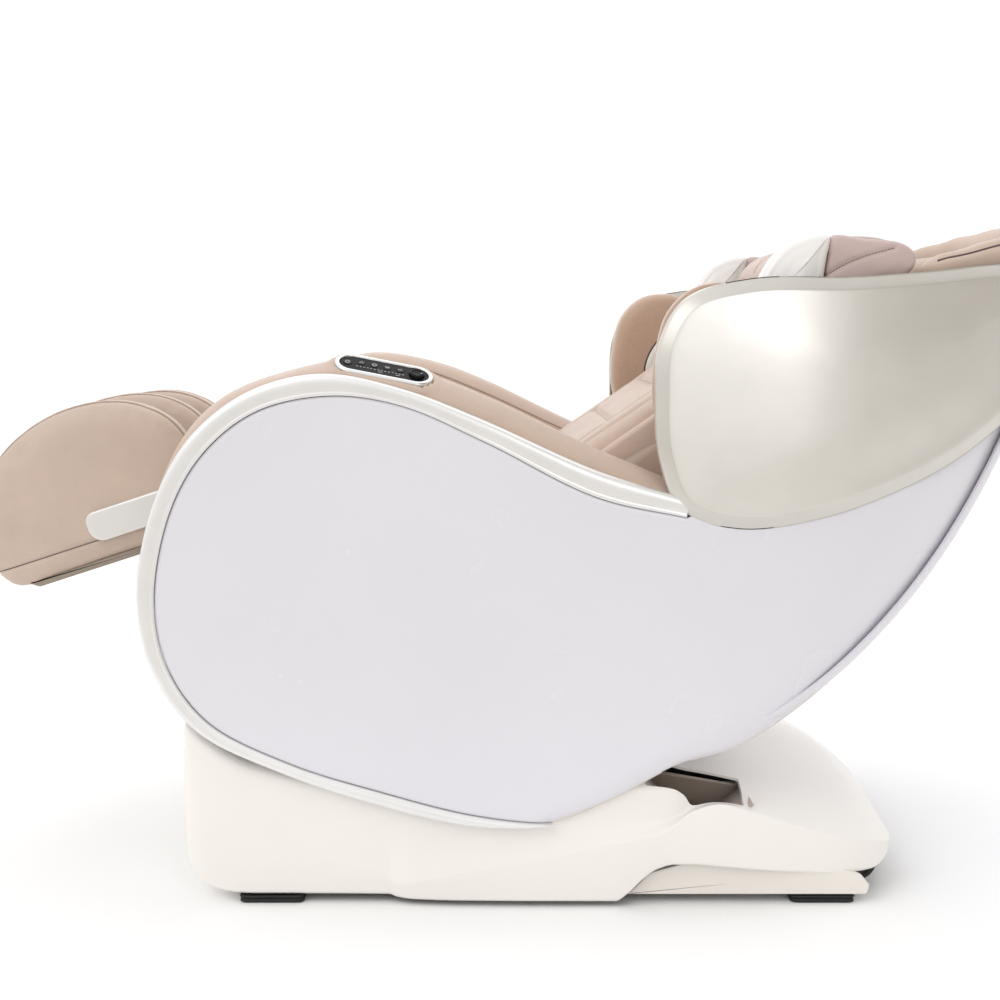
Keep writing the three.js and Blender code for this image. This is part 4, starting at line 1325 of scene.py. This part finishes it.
def seat_cushion():
    outline = np.vstack([curve(SEAT_TOP, 70), resample(SEAT_UNDER, 24)])
    cushion = across(outline, "seat_pad", 232, 16, LOOK["seat_leather"], 3)
    puffed(cushion, 9, voxel=8)
    extras = []
    for i, x in enumerate((-290, -190, -90)):
        line = [(x, y, ABOVE_SEAT) for y in np.linspace(-214, 214, 60)]
        extras.append(sewn(cushion, f"seat_stitch_{i + 1}", line, DOWN, 6, 6))
    for i, y in enumerate((-96, 96)):
        line = [(x, y, ABOVE_SEAT) for x in np.linspace(-380, 0, 90)]
        extras.append(sewn(cushion, f"seat_stitch_long_{i + 1}", line, DOWN, 6, 5))
    place(cushion, "seat_shell", ["seat_cushion"])
    place_all(extras, "seat_shell")


BACK_TOP = [(46, 588), (144, 660), (257, 739), (400, 841), (500, 900), (580, 930), (680, 950), (760, 958),
    (792, 953)]
BACK_UNDER = [(776, 892), (690, 884), (600, 872), (540, 850), (460, 804), (300, 686), (98, 536)]


def back_width(x):
    return 246 - 92 * smooth(x, 560, 790)


def back_cushion():
    outline = np.vstack([curve(BACK_TOP, 110), [(797, 920)], curve(BACK_UNDER, 60), [(62, 542)]])
    cushion = across(outline, "back_pad", 246, 16, LOOK["seat_leather"], 3, back_width)
    puffed(cushion, 8, voxel=9)
    into_back = (0.55, 0, -0.83)
    top = np.array(BACK_TOP)
    extras = []
    for i, x in enumerate((120, 200, 280, 360)):
        line = [(x, y, np.interp(x, top[:, 0], top[:, 1])) for y in np.linspace(-150, 150, 60)]
        extras.append(sewn(cushion, f"back_stitch_{i + 1}", line, into_back, 6, 6))
    xs = np.linspace(80, 400, 80)
    for i, y in enumerate((-205, -158, 158, 205)):
        line = np.stack([xs, np.full(80, y), np.interp(xs, top[:, 0], top[:, 1])], 1)
        extras.append(sewn(cushion, f"back_stitch_long_{i + 1}", line, into_back, 5, 5))
    place(cushion, "seat_shell", ["back_cushion"])
    place_all(extras, "seat_shell")


def back_side_pad():
    """Upholstered side of the backrest, between its cushion and the wing lining."""
    top = curve([(66, 574), (144, 640), (257, 720), (400, 822), (500, 884), (575, 912)], 70)
    under = resample([(556, 830), (420, 700), (300, 600), (170, 524), (84, 524)], 40)
    pad = rounded_slab("back_side_left", np.vstack([top, under]), -257, -226, 9, LOOK["seat_leather"],
        steps=6, crown=2)
    return pad


PILLOW_TOP = [(452, 900), (456, 934), (484, 964), (530, 980), (585, 984), (628, 977), (648, 964)]
PILLOW_UNDER = [(638, 956), (580, 950), (510, 926), (466, 896)]


def head_pillow():
    outline = np.vstack([curve(PILLOW_TOP, 60), curve(PILLOW_UNDER, 30)])
    pillow = across(outline, "pillow", 228, 14, LOOK["pillow_leather"], 2)
    points = drafted(pillow)
    share = np.clip(np.abs(points[:, 1]) / 228, 0, 1)
    middle = np.array([528.0, 948.0])
    pull = 1 - 0.10 * share ** 5
    points[:, 0] = middle[0] + (points[:, 0] - middle[0]) * pull
    points[:, 2] = middle[1] + (points[:, 2] - middle[1]) * pull
    set_coords(pillow, to_row(points))
    puffed(pillow, 8, voxel=6)
    extras = []
    for i, y in enumerate((-76, 76)):
        xs = np.linspace(462, 638, 60)
        line = np.stack([xs, np.full(60, y), np.full(60, 1100)], 1)
        extras.append(sewn(pillow, f"pillow_stitch_{i + 1}", line, DOWN, 6, 7))
    edge = curve([(456, 915), (470, 948), (510, 970), (560, 980), (610, 978), (640, 966)], 50)
    rim = nearest_on(pillow, at_y(edge, -219), 0.4)
    for side, tag in ((1, "left"), (-1, "right")):
        line = rim * [1, side, 1]
        line = nearest_on(pillow, line, 0.4)
        groove(pillow, line, 4, 2.5)
        extras.append(tube(f"pillow_piping_{tag}", nearest_on(pillow, line, 0.8), 1.8, LOOK["piping"],
            sides=8))
    place(pillow, "seat_shell", ["head_pillow"])
    place_all(extras, "seat_shell")


def head_bolster():
    """Padded roll round the head end, gathered along its length, with a dark sewn welt."""
    reach, half = 218, 278
    rings, welt = [], []
    for i in range(161):
        a = math.pi * i / 160
        x = 640 + reach * math.sin(a) ** 0.8
        y = -half * math.copysign(abs(math.cos(a)) ** 0.6, math.cos(a))
        rise = 44 * math.sin(a)
        along = np.array([reach * math.cos(a), half * math.sin(a)])
        along /= np.linalg.norm(along)
        out = np.array([along[1], -along[0]])
        if out @ np.array([x - 640, y]) < 0 and 0 < i < 160:
            out = -out
        swell = 1 + 0.03 * math.cos(i * math.pi / 10)
        end = math.sqrt(max(0.04, 1 - (1 - min(1, min(i, 160 - i) / 6)) ** 2))
        wide, tall = 23.5 * swell * end, (21 + rise * 0.36) * swell * end
        ring = []
        for k in range(28):
            t = 2 * math.pi * k / 28
            c, s = math.cos(t), math.sin(t)
            ring.append((x + out[0] * wide * math.copysign(abs(c) ** 0.85, c),
                y + out[1] * wide * math.copysign(abs(c) ** 0.85, c),
                         932 + rise + tall * math.copysign(abs(s) ** 0.85, s)))
        rings.append(ring)
        welt.append((x + out[0] * wide * 0.72, y + out[1] * wide * 0.72, 932 + rise + tall * 0.8))
    bolster = loft("head_roll", rings, LOOK["arm_leather"])
    welt = nearest_on(bolster, np.array(welt[3:-3]), 0.3)
    groove(bolster, resample(welt, 58), 5, 3.5)
    line = tube("head_roll_welt", resample(nearest_on(bolster, welt, 0.5), 150), 1.5, LOOK["welt"], sides=8)
    place(bolster, "seat_shell", ["head_bolster"])
    place(line, "seat_shell")


POD_CAP = [(388, 884), (397, 924), (426, 964), (466, 983), (490, 984), (496, 979), (492, 950), (488, 918),
    (486, 884), (440, 880)]
POD_PAD = [(487, 884), (489, 918), (493.5, 950), (498, 981), (542, 978), (600, 971), (619, 957), (620, 940),
    (604, 922), (560, 900), (530, 886)]


def head_pods():
    cap = rounded_slab("head_cap_left", curve(POD_CAP, 110, closed=True), -341, -305, 13, LOOK["pod_white"],
        steps=8, crown=5)
    pad = rounded_slab("head_pad_left", curve(POD_PAD, 120, closed=True), -339, -305, 12, LOOK["pod_leather"],
        steps=7, crown=4)
    densified(pad, 3)
    seam = on_surface(pad, [(x, -700, z) for x, z in curve([(490, 925), (520, 942), (548, 953), (588, 964)],
        40)], (0, 1, 0))
    groove(pad, seam, 3.5, 3.0)
    seam = on_surface(pad, seam, (0, 1, 0), 0.2)
    thread = stitches("pod_stitch_left", seam, LOOK["welt"], 5.0, 3.6, 0.55)
    copy_pair([
        (cap, "seat_shell", ["pod_cap_left"], "pod_white", None),
        (pad, "seat_shell", ["pod_pad_left"], "pod_leather", 0.9),
        (thread, "seat_shell", [], "pod_leather", None),
    ])


# ---------------------------------------------------------------- calf rest
KNEE = (-400.0, 610.0)
KNEE_ANGLE = math.radians(18)


def from_calf(points):
    """Takes points from the calf rest's own frame, at the knee pivot, to the drafting frame."""
    points = np.asarray(points, float)
    c, s = math.cos(KNEE_ANGLE), math.sin(KNEE_ANGLE)
    out = points.copy()
    out[..., 0] = KNEE[0] + c * points[..., 0] - s * points[..., -1]
    out[..., -1] = KNEE[1] + s * points[..., 0] + c * points[..., -1]
    return out


CALF_BOTTOM = -61
CALF_TOP = [(-346, CALF_BOTTOM), (-378, -52), (-399, -24), (-410, 14), (-381, 101), (-319, 161), (-212, 192),
    (-110, 174), (-50, 124), (-27, 50)]


def calf_outline():
    line = curve(CALF_TOP, 120)
    foot = resample([(-28, 50), (-28, CALF_BOTTOM)], 24)
    under = resample([(-28, CALF_BOTTOM), (-346, CALF_BOTTOM)], 50)
    return np.vstack([line, foot[1:], under[1:-1]])


def calf_wall(name, y_from, y_to, look):
    outline = from_calf(calf_outline())
    wall = rounded_slab(name, outline, y_from, y_to, 15, look, steps=6, crown=2)
    puffed(wall, 6, voxel=6)
    return wall


def calf_rim(wall, name, y_centre, half_width):
    """Two rows of piping over the top of a wall, each laid in a pressed channel."""
    line = curve(CALF_TOP[2:], 130)
    pieces = []
    for k, off in enumerate((-half_width, half_width)):
        path = from_calf(at_y(line, y_centre + off))
        path = nearest_on(wall, path)
        groove(wall, resample(path, 58), 3.4, 2.0)
        path = nearest_on(wall, path, 0.9)
        pieces.append(tube(f"{name}_piping_{k + 1}", path, 1.9, LOOK["piping"], sides=8))
    return pieces


def calf_rest():
    left = calf_wall("calf_pad_left", -206, -146, LOOK["calf_leather"])
    pieces = calf_rim(left, "calf_rim_left", -176, 17)
    band = from_calf(np.array([(x, -300.0, -22.0) for x in np.linspace(-392, -34, 80)]))
    band = on_surface(left, band, (0, 1, 0))
    groove(left, band, 3.2, 3.0)
    band = on_surface(left, band, (0, 1, 0), 0.2)
    pieces.append(tube("calf_band_left", band, 0.7, LOOK["welt"], sides=6))
    parts = [(left, "calf_rest", ["calf_wall_left"], "calf_leather", 0.9)]
    parts += [(p, "calf_rest", [], "calf_leather", None) for p in pieces]
    copy_pair(parts)

    line = curve(CALF_TOP[4:], 90)
    outline = np.vstack([line, [(-28, 47)], resample([(-30, 47), (-392, 47)], 50)])
    middle = rounded_slab("calf_middle", from_calf(outline), -30, 30, 14, LOOK["calf_leather"], steps=6,
        crown=1)
    puffed(middle, 4, voxel=6)
    ridge = []
    for k, off in enumerate((-15, 15)):
        path = from_calf(at_y(line, off))
        path = nearest_on(middle, path)
        groove(middle, resample(path, 58), 3.2, 2.0)
        ridge.append(tube(f"calf_middle_piping_{k + 1}", nearest_on(middle, path, 0.9), 1.8, LOOK["piping"],
            sides=8))
    place(middle, "calf_rest", ["calf_divider"])
    place_all(ridge, "calf_rest")

    bed_line = [(-369, -50), (-397, -10), (-400, 10), (-354, 38), (-70, 42), (-26, 32), (-26, -50)]
    bed = rounded_slab("calf_bed_pad", from_calf(resample(bed_line, 150, closed=True)), -142.5, 142.5, 6,
        LOOK["calf_lining"], steps=4, crown=0)
    densified(bed, 6)
    for x in (-330, -260, -190, -120):
        for y0, y1 in ((-138, -36), (36, 138)):
            path = from_calf(np.array([(x, y, 200.0) for y in np.linspace(y0, y1, 24)]))
            path = on_surface(bed, path, (math.sin(KNEE_ANGLE), 0, -math.cos(KNEE_ANGLE)))
            groove(bed, path, 8, 5)
    place(bed, "calf_rest", ["calf_bed"])

    plate = [(-336, -64), (-341, -62), (-352, -53.4), (-348, -52.6), (-25, -52.6), (-24, -54), (-24, -63),
        (-26, -64)]
    tray = rounded_slab("calf_plate", from_calf(resample(plate, 160, closed=True)), -201, 201, 3,
        LOOK["calf_base"], steps=4)
    place(tray, "calf_rest", ["calf_tray"])

    bar = []
    for cx, cz, r, a0, a1 in ((-213, 8, 15, 90, 180), (-205, -2, 23, 180, 270), (0, 0, 24, 270, 450)):
        for a in np.linspace(a0, a1, 18):
            bar.append((cx + r * math.cos(math.radians(a)), cz + r * math.sin(math.radians(a))))
    arm = rounded_slab("calf_bar_left", from_calf(resample(bar, 170, closed=True)), -222, -208, 3.2,
        LOOK["calf_arm"], steps=5, flat_angle=60)
    copy_pair([(arm, "calf_lift", ["calf_arm_left"], "calf_arm", None)])


# ---------------------------------------------------------------- CAD nodes that keep their shape
KEPT = {
    "base_frame": "frame_paint", "seat_frame": "frame_paint", "back_frame": "frame_paint",
    "carriage_frame": "frame_paint", "power_supply": "dark_plastic", "power_inlet": "inlet",
    "air_pump": "dark_plastic", "control_box": "dark_plastic", "kneading_shaft": "shaft",
    "massage_arm_left": "dark_plastic", "massage_arm_right": "dark_plastic",
    "massage_wheel_upper_left": "massage_wheel", "massage_wheel_upper_right": "massage_wheel",
    "massage_wheel_lower_left": "massage_wheel", "massage_wheel_lower_right": "massage_wheel",
    "calf_cross_tube": "shaft", "control_face": "panel_black", "power_key": "key",
    "mode_key_1": "key", "mode_key_2": "key", "mode_key_3": "key", "mode_key_4": "key",
}


def finish_kept_nodes():
    for name, look in KEPT.items():
        node = NODES[name]
        node.data.materials.clear()
        node.data.materials.append(LOOK[look])


# ---------------------------------------------------------------- camera, floor and lights
LENS = 50.7
CAMERA_AWAY = 2.385
CAMERA_HEIGHT = 0.863
LOOKS_DOWN = 7


def camera():
    data = bpy.data.cameras.new("camera")
    data.sensor_width = 36
    data.lens = LENS
    data.shift_x = 0.015
    cam = bpy.data.objects.new("camera", data)
    cam.location = (MOVE[0], -CAMERA_AWAY, CAMERA_HEIGHT)
    cam.rotation_euler = (math.radians(90 - LOOKS_DOWN), 0, 0)
    link(cam)
    bpy.context.scene.camera = cam


def floor_look():
    """Matt white floor that turns to pale taupe well in front of the chair."""
    mat, tree, bsdf, where = new_material("floor")
    split = tree.nodes.new("ShaderNodeSeparateXYZ")
    tree.links.new(where, split.inputs[0])
    along = tree.nodes.new("ShaderNodeMath")
    along.operation = "MULTIPLY_ADD"
    along.inputs[1].default_value = 1.4
    along.inputs[2].default_value = 2.1
    tree.links.new(split.outputs["Y"], along.inputs[0])
    tree.links.new(ramp(tree, along.outputs[0], ((0.0, (0.66, 0.64, 0.59)), (1.0, (0.995, 0.995, 0.995)))),
        bsdf.inputs["Base Color"])
    settings(bsdf, Roughness=0.9, Specular_IOR_Level=0.0)
    return mat


def studio():
    size = 30.0
    mesh = bpy.data.meshes.new("floor")
    mesh.from_pydata([(-size, -size, 0), (size, -size, 0), (size, size, 0), (-size, size, 0)], [],
        [(0, 1, 2, 3)])
    floor = bpy.data.objects.new("floor", mesh)
    floor.data.materials.append(floor_look())
    link(floor)
    world = bpy.data.worlds.new("studio")
    bpy.context.scene.world = world
    world.use_nodes = True
    tree = world.node_tree
    background = tree.nodes["Background"]
    where = tree.nodes.new("ShaderNodeTexCoord")
    split = tree.nodes.new("ShaderNodeSeparateXYZ")
    tree.links.new(where.outputs["Generated"], split.inputs[0])
    sideways = ramp(tree, split.outputs["X"], ((0.2, (1.0,) * 3), (0.5, (0.58, 0.545, 0.495)),
        (0.92, (0.34, 0.30, 0.25))))
    turned = tree.nodes.new("ShaderNodeMath")
    turned.operation = "MULTIPLY"
    turned.inputs[1].default_value = -1.0
    tree.links.new(split.outputs["Y"], turned.inputs[0])
    ahead = ramp(tree, turned.outputs[0], ((0.05, (0.0,) * 3), (0.35, (1.0,) * 3)))
    colour, factor = mixed(tree, (1.12, 1.12, 1.12, 1.0), sideways)
    tree.links.new(ahead, factor)
    tree.links.new(colour, background.inputs["Color"])
    settings(background, Strength=1.0)


def area(name, location, aim, size, power):
    data = bpy.data.lights.new(name, "AREA")
    data.shape = "RECTANGLE"
    data.size, data.size_y = size
    data.energy = power
    light = bpy.data.objects.new(name, data)
    light.location = location
    light.rotation_euler = (Vector(aim) - Vector(location)).to_track_quat("-Z", "Y").to_euler()
    link(light)


def lights():
    area("key", (-1.7, -2.2, 2.6), (0, 0, 0.5), (2.2, 1.6), 16)
    area("fill", (0.9, -2.7, 1.25), (0.3, 0, 0.7), (0.9, 0.9), 4)
    area("top", (0.0, 0.6, 3.0), (0, 0, 0.5), (3.0, 2.0), 10)
    area("rear", (-0.5, 3.0, 2.0), (0, 0, 0.6), (2.5, 1.6), 5)


# ---------------------------------------------------------------- assembly
def side_pieces():
    lid, gasket = wing_inset()
    left = [
        (side_panel(), "seat_shell", ["side_panel_left"], "side_panel", None),
        (side_trim(), "seat_shell", ["side_trim_left"], "trim", None),
        (side_lip(), "seat_shell", [], "side_panel", None),
        (back_side_pad(), "seat_shell", [], "seat_leather", 0.9),
        (wing(), "seat_shell", ["wing_shell_left"], "wing", None),
        (wing_lining(), "seat_shell", ["wing_pad_left"], "wing_lining", 0.9),
        (lid, "seat_shell", [], "wing_lining", None),
        (gasket, "seat_shell", [], "wing_lining", None),
    ]
    copy_pair(left)
    for pocket, side in ((True, 1), (False, -1)):
        arm, path, out, rise = armrest(pocket)
        cord = arm_piping(path, out, rise, f"arm_piping_{'left' if side > 0 else 'right'}")
        if side < 0:
            for obj in (arm, cord):
                copy = mirrored(obj, obj.name.replace("plain",
                    "right") if obj is arm else "arm_piping_right_side")
                bpy.data.objects.remove(obj)
                node = ["armrest_right"] if copy.name.startswith("armrest") else []
                place(copy, "seat_shell", node)
        else:
            place(arm, "seat_shell", ["armrest_left"])
            place(cord, "seat_shell")


def build():
    side_pieces()
    control_strip()
    base_cover()
    base_skirt()
    rubber_foot(-322, "front_pad_left", "front_foot_left")
    rubber_foot(510, "rear_pad_left", "rear_foot_left")
    transport_wheel()
    belly_cover()
    back_cover()
    seat_cushion()
    back_cushion()
    head_pillow()
    head_bolster()
    head_pods()
    calf_rest()
    finish_kept_nodes()
    camera()
    studio()
    lights()
    bpy.context.scene.view_settings.view_transform = "Standard"


def write_size():
    bpy.context.view_layer.update()


build()
write_size()
